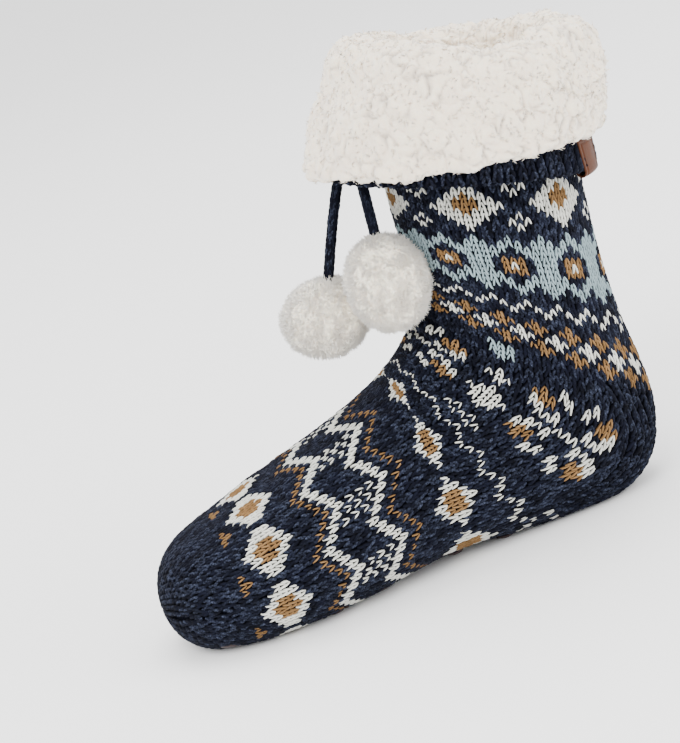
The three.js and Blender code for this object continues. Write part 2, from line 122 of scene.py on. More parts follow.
# As above, with heights as shares of the way from ANKLE_HEIGHT up to LEG_TOP.
LEG_SECTIONS = (
    (-0.483, 0.33, 0.508, 0.03, 1.06),
    (-0.488, 0.41, 0.5, 0.2, 1.08),
    (-0.493, 0.5, 0.497, 0.37, 1.09),
    (-0.497, 0.61, 0.498, 0.55, 1.095),
    (-0.498, 0.73, 0.5, 0.73, 1.1),
)
LEVEL_FRONT, _, LEVEL_BACK, _, LEVEL_WIDTH = LEG_SECTIONS[-1]
LEG_MIDDLE = (LEVEL_FRONT + LEVEL_BACK) / 2 * LEG_DEPTH
LEG_HALF_DEPTH = (LEVEL_BACK - LEVEL_FRONT) * LEG_DEPTH / 2
LEG_HALF_WIDTH = LEVEL_WIDTH * HEEL_WIDTH / 2
SECTION_STEPS = 16  # rings from one section to the next

# The knitting: 72 stitches round, and rows counted from the fold down to the toe.
WALES = 72
ROW_PITCH = 2.7  # along the side
STITCH_WIDTH = 3.7
WALE_SAMPLES = 4  # points of the surface grid to a stitch
ROW_SAMPLES = 2
COVERED_ROWS = 7  # under the cuff, where nothing shows
HEEL_TOP_ROW = 50
CAP_ROW = 121

# Pictures of the stranded bands. W is cream, B light blue, O ochre, N navy and a dot the ground.
# A small letter is the same yarn knitted singly, where it lies thinner.
SMALL_CROSSES = ("O...", "OO.O", "O...")
DIAMONDS = (
    "....W.....W.",
    "...WWW...W.W",
    "..WWOWW...W.",
    ".WWOOOWW....",
    "WWWOOOWWW...",
    ".WWWOWWW....",
    "..WWWWW...W.",
    "...WWW...W.W",
    "....W.....W.",
)
BLUE_BAND = (
    "B...B...",
    "BB.BBB.B",
    "NBBBBBBB",
    "NNBBBBBN",
    "OONBBBNO",
    "WONBBBNO",
    "OONBBBNO",
    "NNBBBBBN",
    "NBBBBBBB",
    "BB.BBB.B",
    "B...B...",
)
CROSSES = ("O...", "OO.O", "O.W.", ".WWW", "O.W.", "OO.O", "O...")
STARS = (
    "...W...W..........",
    ".O.WW.WW.O........",
    "OOO.W.W.OOO.......",
    "WOO.....OOW.......",
    "WW.W...W.WW.......",
    ".WWW...WWW........",
    "....WWW...........",
    ".WWW...WWW........",
    "WW.W...W.WW.......",
    "WOO.....OOW.......",
    "OOO.W.W.OOO.......",
    ".O.WW.WW.O........",
    "...W...W..........",
)
DROPS = (
    ".............BBB..",
    ".............BBB..",
    ".............BBB..",
    "..............B...",
    "..................",
    "..................",
    "..............W...",
    ".............WWW..",
    "..............W...",
    "..................",
    "..............W...",
    ".............WWW..",
    "............WWWWW.",
    ".............WWW..",
    ".............WWW..",
    "..............W...",
    "..................",
    "..................",
    ".............w.w..",
    "............w.w.w.",
    ".............w.w..",
)
SMALL_DIAMONDS = ("...W....", "..WWW...", ".WOOOW..", "WWOOOWW.", ".WOOOW..", "..WWW...", "...W....")
LARGE_DIAMONDS = (
    "...W....",
    "..WWW...",
    ".WWOWW..",
    "WWOOOWW.",
    "WWOOOWW.",
    "WWOOOWW.",
    ".WWOWW..",
    "..WWW...",
    "...W....",
)
SEEDS = (
    "w.......",
    ".w......",
    "w.w.....",
    ".w......",
    "w.w.....",
    ".w......",
    "..w.....",
)
SPECKS = (".o......", "ooo.....")


def mix(low, high, share):
    """The value a share of the way from low to high."""
    return low + (high - low) * share


def unit(vectors):
    """The vectors at length one."""
    return vectors / np.maximum(np.linalg.norm(vectors, axis=-1, keepdims=True), 1e-9)


def risen(height):
    """The share of the leg's lean and tilt that has come in at a height."""
    start = LEAN_START * ANKLE_HEIGHT
    return np.maximum(0, (height - start) / (LEG_TOP - start))


def lean(height):
    """How far the leg has leant back at a height."""
    return LEG_LEAN * risen(height) ** 2


def tipped(x, height, share):
    """The height once the leg's front is raised and its back lowered."""
    return height - FRONT_RISE / LEG_DEPTH * share * (x - lean(height))


def bent_section(front, front_height, back, back_height, width, squareness):
    """A section of the ankle or leg as front x and z, back x and z, half width and squareness."""
    ends = []
    for share, height in ((front, front_height), (back, back_height)):
        x = share * LEG_DEPTH + lean(height)
        ends += [x, tipped(x, height, risen(height))]
    return [*ends, width * HEEL_WIDTH / 2, squareness]


def body_sections():
    """The body's sections from the fold down to the toe tip, with one more beyond each end."""
    rows = [bent_section(LEVEL_FRONT, FOLD_HEIGHT, LEVEL_BACK, FOLD_HEIGHT, LEVEL_WIDTH, 0)]
    for front, front_share, back, back_share, width in reversed(LEG_SECTIONS):
        heights = [mix(ANKLE_HEIGHT, LEG_TOP, share) for share in (front_share, back_share)]
        rows.append(bent_section(front, heights[0], back, heights[1], width, 0))
    for i, (front, front_share, back, back_share, width) in reversed(list(enumerate(ANKLE_SECTIONS))):
        squareness = max(0, 1 - i / (len(ANKLE_SECTIONS) - 3))
        heights = (front_share * ANKLE_HEIGHT, back_share * ANKLE_HEIGHT)
        rows.append(bent_section(front, heights[0], back, heights[1], width, squareness))
    for along, top, sole, width in reversed(FOOT_SECTIONS):
        x = -along * TOE_REACH
        rows.append([x, top * INSTEP_HEIGHT, x, sole * INSTEP_HEIGHT, width * BALL_WIDTH / 2, 1])
    tip_height = TOE_TIP_HEIGHT * INSTEP_HEIGHT
    last = rows[-1]
    rows.append([-TOE_REACH, tip_height, -TOE_REACH, tip_height, 0, 1])
    rows.append([last[2], last[3], last[0], last[1], -last[4], 1])
    table = np.array(rows, float)
    return np.vstack([2 * table[0] - table[1], table])


def smooth_between(table, steps):
    """Rows on one smooth curve through the table's rows, apart from its first and last."""
    share = (np.arange(steps) / steps).reshape(-1, *(1,) * (table.ndim - 1))
    spans = []
    for a, b, c, d in zip(table, table[1:], table[2:], table[3:]):
        curve = 2 * b + (c - a) * share + (2 * a - 5 * b + 4 * c - d) * share**2
        spans.append((curve + (3 * b - a - 3 * c + d) * share**3) / 2)
    return np.vstack(spans + [table[-2:-1]])


def ring(section, count):
    """Points at equal distances round a section, from its front round the left side."""
    front_x, front_z, back_x, back_z, half_width, squareness = section
    angles = np.linspace(0, 2 * math.pi, 10 * count + 1)
    cosine, sine = np.cos(angles), np.sin(angles)
    power = ROUND / (ROUND + np.where(cosine < 0, SOLE_SQUARENESS, TOP_SQUARENESS) * squareness)
    down = (1 - np.sign(cosine) * np.abs(cosine) ** power) / 2
    across = np.sign(sine) * np.abs(sine) ** power
    height = np.maximum(SOLE_LIFT, mix(front_z, back_z, down))
    points = np.stack([mix(front_x, back_x, down), -half_width * across, height], -1)
    steps = np.linalg.norm(np.diff(points, axis=0), axis=1)
    length = np.concatenate([[0], np.cumsum(steps)])
    places = np.linspace(0, length[-1], count, endpoint=False)
    return np.stack([np.interp(places, length, points[:, k]) for k in range(3)], -1)


class Sheet:
    """A surface as a grid of points with outward normals, read by row and column of stitches."""

    def __init__(self, points, closed, row_samples, wale_samples):
        self.points, self.closed = points, closed
        self.row_samples, self.wale_samples = row_samples, wale_samples
        self.measure()

    def measure(self):
        """Works out the normals."""
        down = np.gradient(self.points, axis=0)
        if self.closed:
            around = np.roll(self.points, -1, axis=1) - np.roll(self.points, 1, axis=1)
        else:
            around = np.gradient(self.points, axis=1)
        self.normals = unit(np.cross(down, around))

    def rows(self):
        """The number of rows that the sheet reaches."""
        return (len(self.points) - 1) / self.row_samples

    def raise_by(self, height):
        """Moves the surface out along its normals."""
        self.points = self.points + self.normals * height[..., None]
        self.measure()

    def grid(self):
        """The row and column of each grid point, in stitches."""
        count, across = self.points.shape[:2]
        rows = np.arange(count)[:, None] / self.row_samples
        wales = np.arange(across)[None, :] / self.wale_samples
        return np.broadcast_arrays(rows, wales)

    def at(self, row, wale):
        """Points and normals at rows and columns of stitches."""
        count, across = self.points.shape[:2]
        i = np.clip(row * self.row_samples, 0, count - 1.001)
        j = wale * self.wale_samples
        j = np.mod(j, across) if self.closed else np.clip(j, 0, across - 1.001)
        i0, j0 = i.astype(int), np.minimum(j.astype(int), across - 1)
        di, dj = (i - i0)[..., None], (j - j0)[..., None]
        j1 = (j0 + 1) % across
        found = []
        for field in (self.points, self.normals):
            near = mix(field[i0, j0], field[i0, j1], dj)
            far = mix(field[i0 + 1, j0], field[i0 + 1, j1], dj)
            found.append(mix(near, far, di))
        return found[0], unit(found[1])


# Soft troughs in the knit: row and stitch where each starts and ends, with its
# depth and half width. A ridge has a depth below zero. Stitch 0 is the front and 18 the left side.
CREASES = (
    ((53, -9), (55.5, 8), 2.4, 4.0),
    ((57, -12), (57.5, 13), -1.3, 4.5),
    ((61, -11), (60, 10), 2.0, 4.2),
    ((54, 9), (59, 21), 1.3, 5.0),
    ((60, -9), (67, -20), 1.2, 5.0),
    ((70, 6), (73, 17), 0.9, 5.0),
    ((39, 20), (45, 31), 1.2, 6.0),
    ((32, 6), (36, 15), 0.9, 6.0),
    ((86, 14), (98, 17), 1.0, 6.0),
    ((108, -8), (110, 9), 0.9, 5.0),
    ((50, 30), (60, 24), 1.4, 7.0),
    ((38, -22), (44, -30), 1.2, 6.0),
)
GRIP_RADIUS = 4.6
GRIP_MARGIN = 1.2  # round a grip, where the knit slopes down under it
GRIP_PRESS = 0.8  # how far a grip presses the knit in
CREASE_RUN_OUT = 0.25  # of a crease's length, past each end
CREASE_FADE = 0.4  # of its length, over which it dies away
SLACK = 0.8  # height of the knit's gentle unevenness
SLACK_SPAN = 34
SLACK_STEP = 4  # grid points between the places where it is worked out
CALM_TOP, CALM_TOE = 20, 12  # rows at the fold and at the toe's end where it fades
SEED_STEPS = (7.1, 3.3, 5.7)  # how far apart two seeds read the noise


def crease_relief(rows, wales):
    """How far the creases move the surface out at rows and stitches."""
    relief = np.zeros(np.broadcast(rows, wales).shape)
    wrapped = (wales + WALES / 2) % WALES - WALES / 2
    for (row_a, wale_a), (row_b, wale_b), depth, width in CREASES:
        a = np.array([row_a * ROW_PITCH, wale_a * STITCH_WIDTH])
        b = np.array([row_b * ROW_PITCH, wale_b * STITCH_WIDTH])
        run = b - a
        down, across = rows * ROW_PITCH - a[0], wrapped * STITCH_WIDTH - a[1]
        share = (down * run[0] + across * run[1]) / (run @ run)
        held = np.clip(share, 0, 1)
        distance = np.hypot(down - held * run[0], across - held * run[1])
        to_end = np.minimum(share, 1 - share) + CREASE_RUN_OUT
        fade = np.clip(to_end / CREASE_FADE, 0, 1)
        relief -= depth * np.exp(-((distance / width) ** 2)) * fade
    return relief


def wobble(points, span, seed):
    """Smooth noise between -1 and 1 at points, with humps a span apart."""
    flat = points.reshape(-1, 3) / span
    shift = Vector([seed * step for step in SEED_STEPS])
    values = [noise.noise(Vector(p) + shift) for p in flat.tolist()]
    return np.array(values).reshape(points.shape[:-1])


def knit_body():
    """The knit's outer surface from the fold down to the toe, with its creases."""
    dense = smooth_between(body_sections(), SECTION_STEPS)
    count = WALES * WALE_SAMPLES
    rings = np.array([ring(section, count) for section in dense])
    side = rings[:, count // 4]
    length = np.concatenate([[0], np.cumsum(np.linalg.norm(np.diff(side, axis=0), axis=1))])
    places = np.arange(0, length[-1], ROW_PITCH / ROW_SAMPLES)
    near = np.clip(np.searchsorted(length, places, "right") - 1, 0, len(rings) - 2)
    share = (places - length[near]) / np.maximum(length[near + 1] - length[near], 1e-9)
    points = mix(rings[near], rings[near + 1], share[:, None, None])
    sheet = Sheet(points, True, ROW_SAMPLES, WALE_SAMPLES)
    rows, wales = sheet.grid()
    slack = wobble(points[::SLACK_STEP, ::SLACK_STEP], SLACK_SPAN, 1)
    slack = slack.repeat(SLACK_STEP, axis=0).repeat(SLACK_STEP, axis=1)
    slack = smoothed(slack[: len(points)], SLACK_STEP)
    calm = np.clip(rows / CALM_TOP, 0, 1) * np.clip((sheet.rows() - rows) / CALM_TOE, 0, 1)
    sheet.raise_by((SLACK * slack + crease_relief(rows, wales)) * calm)
    sheet.points[..., 2] = np.maximum(sheet.points[..., 2], LOWEST_KNIT)
    sheet.measure()
    press_in_grips(sheet)
    return sheet


def grip_names():
    """The grips' nodes, in order."""
    return sorted(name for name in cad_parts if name.startswith("grip_"))


def middle_of(node):
    """The middle of a node's box, in millimetres."""
    low, high = (np.array(corner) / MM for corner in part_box(node))
    return (low + high) / 2


def press_in_grips(sheet):
    """Flattens the knit where a grip is poured on it."""
    normals = sheet.normals.copy()
    for name in grip_names():
        distance = np.linalg.norm(sheet.points - middle_of(name), axis=-1)
        share = np.clip((GRIP_RADIUS + GRIP_MARGIN - distance) / GRIP_MARGIN, 0, 1)
        sheet.points = sheet.points - normals * (GRIP_PRESS * share)[..., None]


def smoothed(field, reach):
    """A grid averaged over its neighbours, round its columns."""
    for _ in range(reach):
        field = (np.roll(field, 1, 1) + 2 * field + np.roll(field, -1, 1)) / 4
        padded = np.vstack([field[:1], field, field[-1:]])
        field = (padded[:-2] + 2 * field + padded[2:]) / 4
    return field


# The cuff's own form, round the straight top of the leg.
def cuff_point(angle, height, off):
    """Points of the cuff at angles from the front, heights and stand-offs from the leg."""
    angle, height, off = np.broadcast_arrays(angle, height, off)
    x = LEG_MIDDLE + lean(height) - (LEG_HALF_DEPTH + off) * np.cos(angle)
    return np.stack([x, -(LEG_HALF_WIDTH + off) * np.sin(angle), tipped(x, height, 1)], -1)


def hem_at(angle):
    """Height of the ribbed hem's lower edge."""
    return HEM_HEIGHT + HEM_SWING * np.cos(angle)


def fleece_hem_at(angle):
    """Height of the fleece's lower edge."""
    return hem_at(angle) + RIB_SHOWING - RIB_SWING * np.cos(angle)


def crown_at(angle):
    """Height of the fleece's top."""
    return LEG_TOP + FLEECE_CROWN - CROWN_DIP * np.sin(angle) ** 2


def flare(angle, height):
    """Stand-off of the folded knit's inner side from the leg."""
    down = np.maximum(0, (FOLD_HEIGHT - height) / (FOLD_HEIGHT - hem_at(angle)))
    return mix(FOLD_GAP, HEM_FLARE + HEM_SHIFT * np.cos(angle), down)


RIB_UP = 26  # how far the ribs run up the hem's outside, under the fleece
RIB_BACK = 14  # and up its inside
RIB_COUNT = 72
RIB_RELIEF = 0.7
HEM_SLACK = 0.4
HEM_SLACK_SPAN = 16


def folded(along, outer, radius):
    """Height over the lowest line of a folded strip, and the turn round it, at a length along it."""
    bend = math.pi * radius
    if along < outer:
        return outer - along, 0.0
    if along < outer + bend:
        return 0.0, (along - outer) / radius
    return along - outer - bend, math.pi


def hem_sheet():
    """The ribbed hem: down its outside, round its edge and up its inside."""
    angle = np.linspace(0, 2 * math.pi, RIB_COUNT * WALE_SAMPLES, endpoint=False)
    half = KNIT_WALL / 2
    rows = []
    for along in np.arange(0, RIB_UP + math.pi * half + RIB_BACK, ROW_PITCH / ROW_SAMPLES):
        up, turn = folded(along, RIB_UP, half)
        height = hem_at(angle) + half + up
        off = flare(angle, height) + half + half * math.cos(turn)
        rows.append(cuff_point(angle, height - half * math.sin(turn), off))
    sheet = Sheet(np.array(rows), True, ROW_SAMPLES, WALE_SAMPLES)
    ribs = -RIB_RELIEF * np.cos(2 * math.pi * sheet.grid()[1])
    sheet.raise_by(ribs + HEM_SLACK * wobble(sheet.points, HEM_SLACK_SPAN, 5))
    return sheet


# Half width of the heel's ribbed panel in stitches: at its top, once narrowed, and at its end.
PANEL_HALVES = (14.5, 9.8, 9.0)
PANEL_NARROWED = 6  # rows from its top
PANEL_RIBS = 15
PANEL_PITCH = 2.7  # of its rows
PANEL_DEPTH = 0.1  # how far it lies below the knit round it
PANEL_REACH = 88  # length of the panel down the back and under the heel


def panel_place(body):
    """Rows of the body at equal distances down the panel, and the panel's half width there."""
    back = body.points[:, WALES * WALE_SAMPLES // 2]
    start = HEEL_TOP_ROW * ROW_SAMPLES
    steps = np.linalg.norm(np.diff(back[start:], axis=0), axis=1)
    length = np.concatenate([[0], np.cumsum(steps)])
    places = np.arange(0, PANEL_REACH, PANEL_PITCH / ROW_SAMPLES)
    rows = np.interp(places, length, np.arange(len(length)) / ROW_SAMPLES + HEEL_TOP_ROW)
    return rows, panel_half(rows, rows[-1])


def panel_half(rows, last):
    """Half width of the heel's panel at rows of the body, in stitches."""
    return np.interp(rows, (HEEL_TOP_ROW, HEEL_TOP_ROW + PANEL_NARROWED, last), PANEL_HALVES)


def panel_sheet(body):
    """The heel's ribbed panel as a sheet of its own."""
    rows, half = panel_place(body)
    across = np.linspace(-1, 1, PANEL_RIBS * WALE_SAMPLES + 1)
    wales = WALES / 2 + half[:, None] * across[None, :]
    points = body.at(np.broadcast_to(rows[:, None], wales.shape), wales)[0]
    sheet = Sheet(points, False, ROW_SAMPLES, WALE_SAMPLES)
    ribs = sheet.grid()[1]
    sheet.raise_by(-RIB_RELIEF * np.cos(2 * math.pi * ribs) - PANEL_DEPTH)
    sheet.points[..., 2] = np.maximum(sheet.points[..., 2], LOWEST_KNIT)
    return sheet


# How each yarn lies: half width and height of a leg of a stitch, how far its middle stands up, how
# far apart the legs end, and how many points it has along it.
YARNS = {
    "navy": {"half": 0.98, "height": 1.05, "lift": 0.62, "spread": 0.34, "points": 4, "jitter": 0.1},
    "cream": {"half": 0.6, "height": 0.75, "lift": 0.66, "spread": 0.32, "points": 5, "jitter": 0.05},
    "thin": {"half": 0.47, "height": 0.62, "lift": 0.66, "spread": 0.33, "points": 5, "jitter": 0.06},
    "rib": {"half": 1.1, "height": 1.1, "lift": 0.5, "spread": 0.27, "points": 4, "jitter": 0.07},
    "cord": {"half": 0.8, "height": 0.7, "lift": 0.3, "spread": 0.3, "points": 4, "jitter": 0.05},
}
LEG_START, LEG_END = -0.15, 1.35  # rows that a leg spans
APEX = 0.06  # stitches from the middle to a leg's upper end
LEG_CURVE = 0.8  # power by which a leg spreads along its length
LEG_SINK = 0.3  # how far the legs sit down in the ground
LEG_TAPER = 0.62  # width of a leg's ends as a share of its middle's
LIFT_JITTER, WIDTH_JITTER = 0.12, 0.06
SIDE_SHARES = np.array([-1.0, -0.55, 0.55, 1.0])  # across a leg, in half widths
RISE_SHARES = np.array([-0.6, 0.6, 0.6, -0.6])  # and up from its middle, in heights


def knit(sheet, rows, wales, yarn, rng):
    """The two legs of each stitch as vertices, faces, UVs and a tone for each vertex."""
    form = YARNS[yarn]
    count = len(rows)
    jitter = rng.normal(0, form["jitter"], (2, count, 1, 1))
    share = np.linspace(0, 1, form["points"])
    side = np.array([-1.0, 1.0])[None, :, None]
    row = rows[:, None, None] + mix(LEG_START, LEG_END, share) + jitter[0]
    wale = wales[:, None, None] + 0.5 + side * (APEX + form["spread"] * share**LEG_CURVE) + jitter[1]
    row, wale = np.broadcast_arrays(row, wale)
    centre, normal = sheet.at(row, wale)
    arch = np.sin(math.pi * mix(0.1, 0.9, share))
    lift = form["lift"] * (1 + rng.normal(0, LIFT_JITTER, (count, 1, 1))) * arch
    centre = centre + normal * (lift - LEG_SINK)[..., None]
    run = np.gradient(centre, axis=2)
    across = unit(np.cross(normal, run))
    swell = mix(LEG_TAPER, 1, arch) * (1 + rng.normal(0, WIDTH_JITTER, (count, 1, 1)))
    wide = form["half"] * swell[..., None, None] * SIDE_SHARES[:, None]
    high = form["height"] * swell[..., None, None] * RISE_SHARES[:, None]
    vertices = centre[..., None, :] + across[..., None, :] * wide + normal[..., None, :] * high
    return ribbon_mesh(vertices, rng)


def ribbon_mesh(vertices, rng):
    """Strips as one mesh: an array of strips, points along, points across and x, y, z."""
    along, across = vertices.shape[-3:-1]
    vertices = vertices.reshape(-1, along, across, 3)
    strips = len(vertices)
    first = np.arange(along - 1)[:, None] * across + np.arange(across - 1)[None, :]
    quad = np.stack([first, first + 1, first + across + 1, first + across], -1).reshape(-1, 4)
    faces = (np.arange(strips)[:, None, None] * along * across + quad[None]).reshape(-1, 4)
    v, u = np.meshgrid(np.linspace(0, 1, along), np.linspace(0, 1, across), indexing="ij")
    start = rng.random(strips)[:, None, None]
    uv = np.stack(np.broadcast_arrays(u[None], v[None] + start), -1)
    tone = np.broadcast_to(rng.random(strips)[:, None, None], (strips, along, across))
    return vertices.reshape(-1, 3), faces, uv.reshape(-1, 2), tone.reshape(-1)


def joined(parts):
    """Several sets of vertices, faces, UVs and tones as one."""
    offsets = np.cumsum([0] + [len(part[0]) for part in parts[:-1]])
    faces = np.vstack([part[1] + offset for part, offset in zip(parts, offsets)])
    vertices, uv, tone = (np.concatenate([part[k] for part in parts]) for k in (0, 2, 3))
    return vertices, faces, uv, tone


def set_tone(mesh, tone):
    """Keeps a number for each vertex, which the finishes read."""
    attribute = mesh.attributes.new("tone", "FLOAT", "POINT")
    attribute.data.foreach_set("value", tone.astype(np.float32))


def mesh_object(name, data, finish):
    """A piece from arrays in millimetres, riding on the sock."""
    vertices, faces, uv, tone = data
    mesh = bpy.data.meshes.new(name)
    mesh.vertices.add(len(vertices))
    mesh.vertices.foreach_set("co", (vertices * MM).astype(np.float32).ravel())
    mesh.loops.add(faces.size)
    mesh.loops.foreach_set("vertex_index", faces.astype(np.int32).ravel())
    mesh.polygons.add(len(faces))
    mesh.polygons.foreach_set("loop_start", np.arange(0, faces.size, faces.shape[1], dtype=np.int32))
    mesh.polygons.foreach_set("use_smooth", np.full(len(faces), True))
    mesh.update(calc_edges=True)
    layer = mesh.uv_layers.new(name="yarn")
    layer.uv.foreach_set("vector", uv[faces.ravel()].astype(np.float32).ravel())
    set_tone(mesh, tone)
    return piece(name, mesh, finish)


def piece(name, mesh, finish):
    """Puts a mesh in the scene as a piece of the sock."""
    made = bpy.data.objects.new(name, mesh)
    bpy.context.scene.collection.objects.link(made)
    mesh.materials.append(finish)
    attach(made, "root")
    return made


def smooth_mesh(name, bm):
    """Shades a bmesh smooth and keeps it as a mesh."""
    for face in bm.faces:
        face.smooth = True
    mesh = bpy.data.meshes.new(name)
    bm.to_mesh(mesh)
    bm.free()
    return mesh


def grid_mesh(name, rings, tones):
    """A closed skin over rings of points, from a grid whose sides are merged, with a tone to a ring."""
    count, across = rings.shape[:2]
    bm = bmesh.new()
    bmesh.ops.create_grid(bm, x_segments=across, y_segments=count - 1, size=1)
    layer = bm.verts.layers.float.new("tone")
    bm.verts.ensure_lookup_table()
    wrapped = np.concatenate([rings, rings[:, :1]], axis=1).reshape(-1, 3) * MM
    for vert, place, tone in zip(bm.verts, wrapped.tolist(), np.repeat(tones, across + 1)):
        vert.co = place
        vert[layer] = tone
    bmesh.ops.remove_doubles(bm, verts=bm.verts, dist=1e-6)
    bmesh.ops.recalc_face_normals(bm, faces=bm.faces)
    return smooth_mesh(name, bm)


# The stranded picture: one letter for each row and stitch.
def lay(chart, top, picture, shift=0):
    """Repeats a picture round the chart from a row down. Dots keep the ground."""
    width = len(picture[0])
    for down, line in enumerate(picture):
        for wale in range(WALES):
            letter = line[(wale - shift) % width]
            if letter != ".":
                chart[top + down, wale] = letter


def zigzag(chart, top, period, height, letter, thick=1, shift=0):
    """A zigzag line round the chart, with its first peak at the shift."""
    for wale in range(WALES):
        phase = (wale - shift) % period / period
        level = round(height * (1 - abs(1 - 2 * phase)))
        chart[top + level : top + level + thick, wale] = letter


def stranded_chart():
    """The sock's whole picture from the fold to the toe cap."""
    chart = np.full((CAP_ROW, WALES), "N")
    lay(chart, 9, SMALL_CROSSES)
    zigzag(chart, 13, 4, 2, "w")
    lay(chart, 17, DIAMONDS, -4)
    lay(chart, 27, BLUE_BAND)
    zigzag(chart, 39, 4, 2, "W")
    lay(chart, 43, CROSSES)
    lay(chart, 51, DROPS, 15)
    lay(chart, 55, STARS, 15)
    zigzag(chart, 73, 4, 2, "w")
    lay(chart, 78, SMALL_DIAMONDS, 1)
    zigzag(chart, 88, 8, 4, "o", shift=4)
    zigzag(chart, 91, 8, 4, "W", thick=2, shift=4)
    lay(chart, 94, SEEDS, 4)
    zigzag(chart, 100, 8, 4, "W", thick=2, shift=4)
    zigzag(chart, 103, 8, 4, "o", shift=4)
    lay(chart, 110, LARGE_DIAMONDS, 1)
    lay(chart, 119, SPECKS, -2)
    return chart


# Finishes.
class Finish:
    """A node material being put together."""

    def __init__(self, name, roughness, sheen=0.0, **sockets):
        self.material = bpy.data.materials.new(name)
        self.material.use_nodes = True
        self.tree = self.material.node_tree
        self.shader = self.tree.nodes["Principled BSDF"]
        self.shader.inputs["Roughness"].default_value = roughness
        self.shader.inputs["Sheen Weight"].default_value = sheen
        self.shader.inputs["Sheen Roughness"].default_value = 0.5
        for socket, value in sockets.items():
            self.shader.inputs[socket.replace("_", " ")].default_value = value
        self.place = self.node("ShaderNodeTexCoord")

    def node(self, kind, inputs=(), **settings):
        """A node with its settings, and its inputs set or linked by name or number."""
        made = self.tree.nodes.new(kind)
        for name, value in settings.items():
            setattr(made, name, value)
        for socket, value in dict(inputs).items():
            self.feed(made.inputs[socket], value)
        return made

    def feed(self, socket, value):
        """Links an output to a socket, or sets the socket."""
        if isinstance(value, bpy.types.NodeSocket):
            self.tree.links.new(value, socket)
        else:
            socket.default_value = value

    def noise(self, span, detail=2.0, roughness=0.5, place="Object", distortion=0.0):
        """Cloudy noise with humps a span apart, in millimetres."""
        inputs = {"Vector": self.place.outputs[place], "Scale": 1 / (span * MM), "Detail": detail}
        inputs.update({"Roughness": roughness, "Distortion": distortion})
        return self.node("ShaderNodeTexNoise", inputs).outputs["Fac"]

    def ramp(self, fac, low, high, start=0.0, end=1.0):
        """The factor stretched so that start to end becomes low to high."""
        inputs = {"Value": fac, "From Min": start, "From Max": end, "To Min": low, "To Max": high}
        return self.node("ShaderNodeMapRange", inputs).outputs["Result"]

    def blend(self, fac, first, second, how="MIX"):
        """Two colours mixed by a factor."""
        made = self.node("ShaderNodeMix", data_type="RGBA", blend_type=how)
        self.feed(made.inputs[0], fac)
        self.feed(made.inputs[6], first)
        self.feed(made.inputs[7], second)
        return made.outputs[2]

    def value(self, name):
        """A number kept on the mesh."""
        return self.node("ShaderNodeAttribute", attribute_name=name).outputs["Fac"]

    def math(self, operation, first, second=0.0):
        """Two numbers calculated into one."""
        return self.node("ShaderNodeMath", {0: first, 1: second}, operation=operation).outputs[0]

    def colour(self, source):
        """Feeds the base colour."""
        self.feed(self.shader.inputs["Base Color"], source)

    def bump(self, *layers):
        """Stacks bumps, each a height, a strength and a depth in millimetres."""
        normal = None
        for height, strength, depth in layers:
            inputs = {"Height": height, "Strength": strength, "Distance": depth * MM}
            if normal is not None:
                inputs["Normal"] = normal
            normal = self.node("ShaderNodeBump", inputs).outputs["Normal"]
        self.feed(self.shader.inputs["Normal"], normal)


def rgba(colour, shade=1.0):
    """A colour property as a socket's value, lightened or darkened."""
    return (*(min(1.0, channel * shade) for channel in colour), 1.0)


def yarn_finish(name, colour, fleck, depth, contrast, flecks=0.5, sheen=0.0):
    """Yarn: soft strands with painted shade along each strand's sides, some paler than others along their
    length.
    """
    finish = Finish(name, 0.95, sheen, Specular_IOR_Level=0.1)
    tone = finish.value("tone")
    cloud = finish.noise(6.0, 3.0, 0.6)
    along = finish.node("ShaderNodeMapping", {"Vector": finish.place.outputs["UV"]})
    along.inputs["Scale"].default_value = (1.3, 1.7, 1.0)
    inputs = {"Vector": along.outputs[0], "Scale": 1.0, "Detail": 3.0, "Roughness": 0.6, "Distortion": 0.4}
    strand = finish.node("ShaderNodeTexNoise", inputs).outputs["Fac"]
    dark, light = rgba(colour, 1 - contrast), rgba(colour, 1 + contrast)
    base = finish.blend(finish.ramp(cloud, 0, 1, 0.3, 0.7), dark, light)
    picked = finish.ramp(strand, 0, 1, 0.4, 0.66)
    paler = finish.math("MULTIPLY", picked, finish.ramp(tone, 0, 1, 1 - 1.6 * flecks, 1))
    base = finish.blend(paler, base, rgba(fleck))
    # Painted shade: each strand darkens from its middle to its sides, down to its colour times depth.
    across = finish.node("ShaderNodeSeparateXYZ", {0: finish.place.outputs["UV"]}).outputs["X"]
    edge = finish.math("ABSOLUTE", finish.math("SUBTRACT", across, 0.5))
    base = finish.blend(finish.ramp(edge, 0, 1, 0.12, 0.42), base, rgba(colour, depth))
    finish.colour(base)
    twist = finish.node("ShaderNodeMapping", {"Vector": finish.place.outputs["UV"]})
    twist.inputs["Rotation"].default_value = (0, 0, math.radians(28))
    ply = finish.node("ShaderNodeTexWave", {"Vector": twist.outputs[0], "Scale": 1.6, "Distortion": 1.0})
    ply.bands_direction = "Y"
    hairs = finish.noise(0.35, 2.0, 0.8)
    finish.bump((ply.outputs["Fac"], 0.4, 0.3), (strand, 0.5, 0.5), (hairs, 0.5, 0.3))
    return finish.material


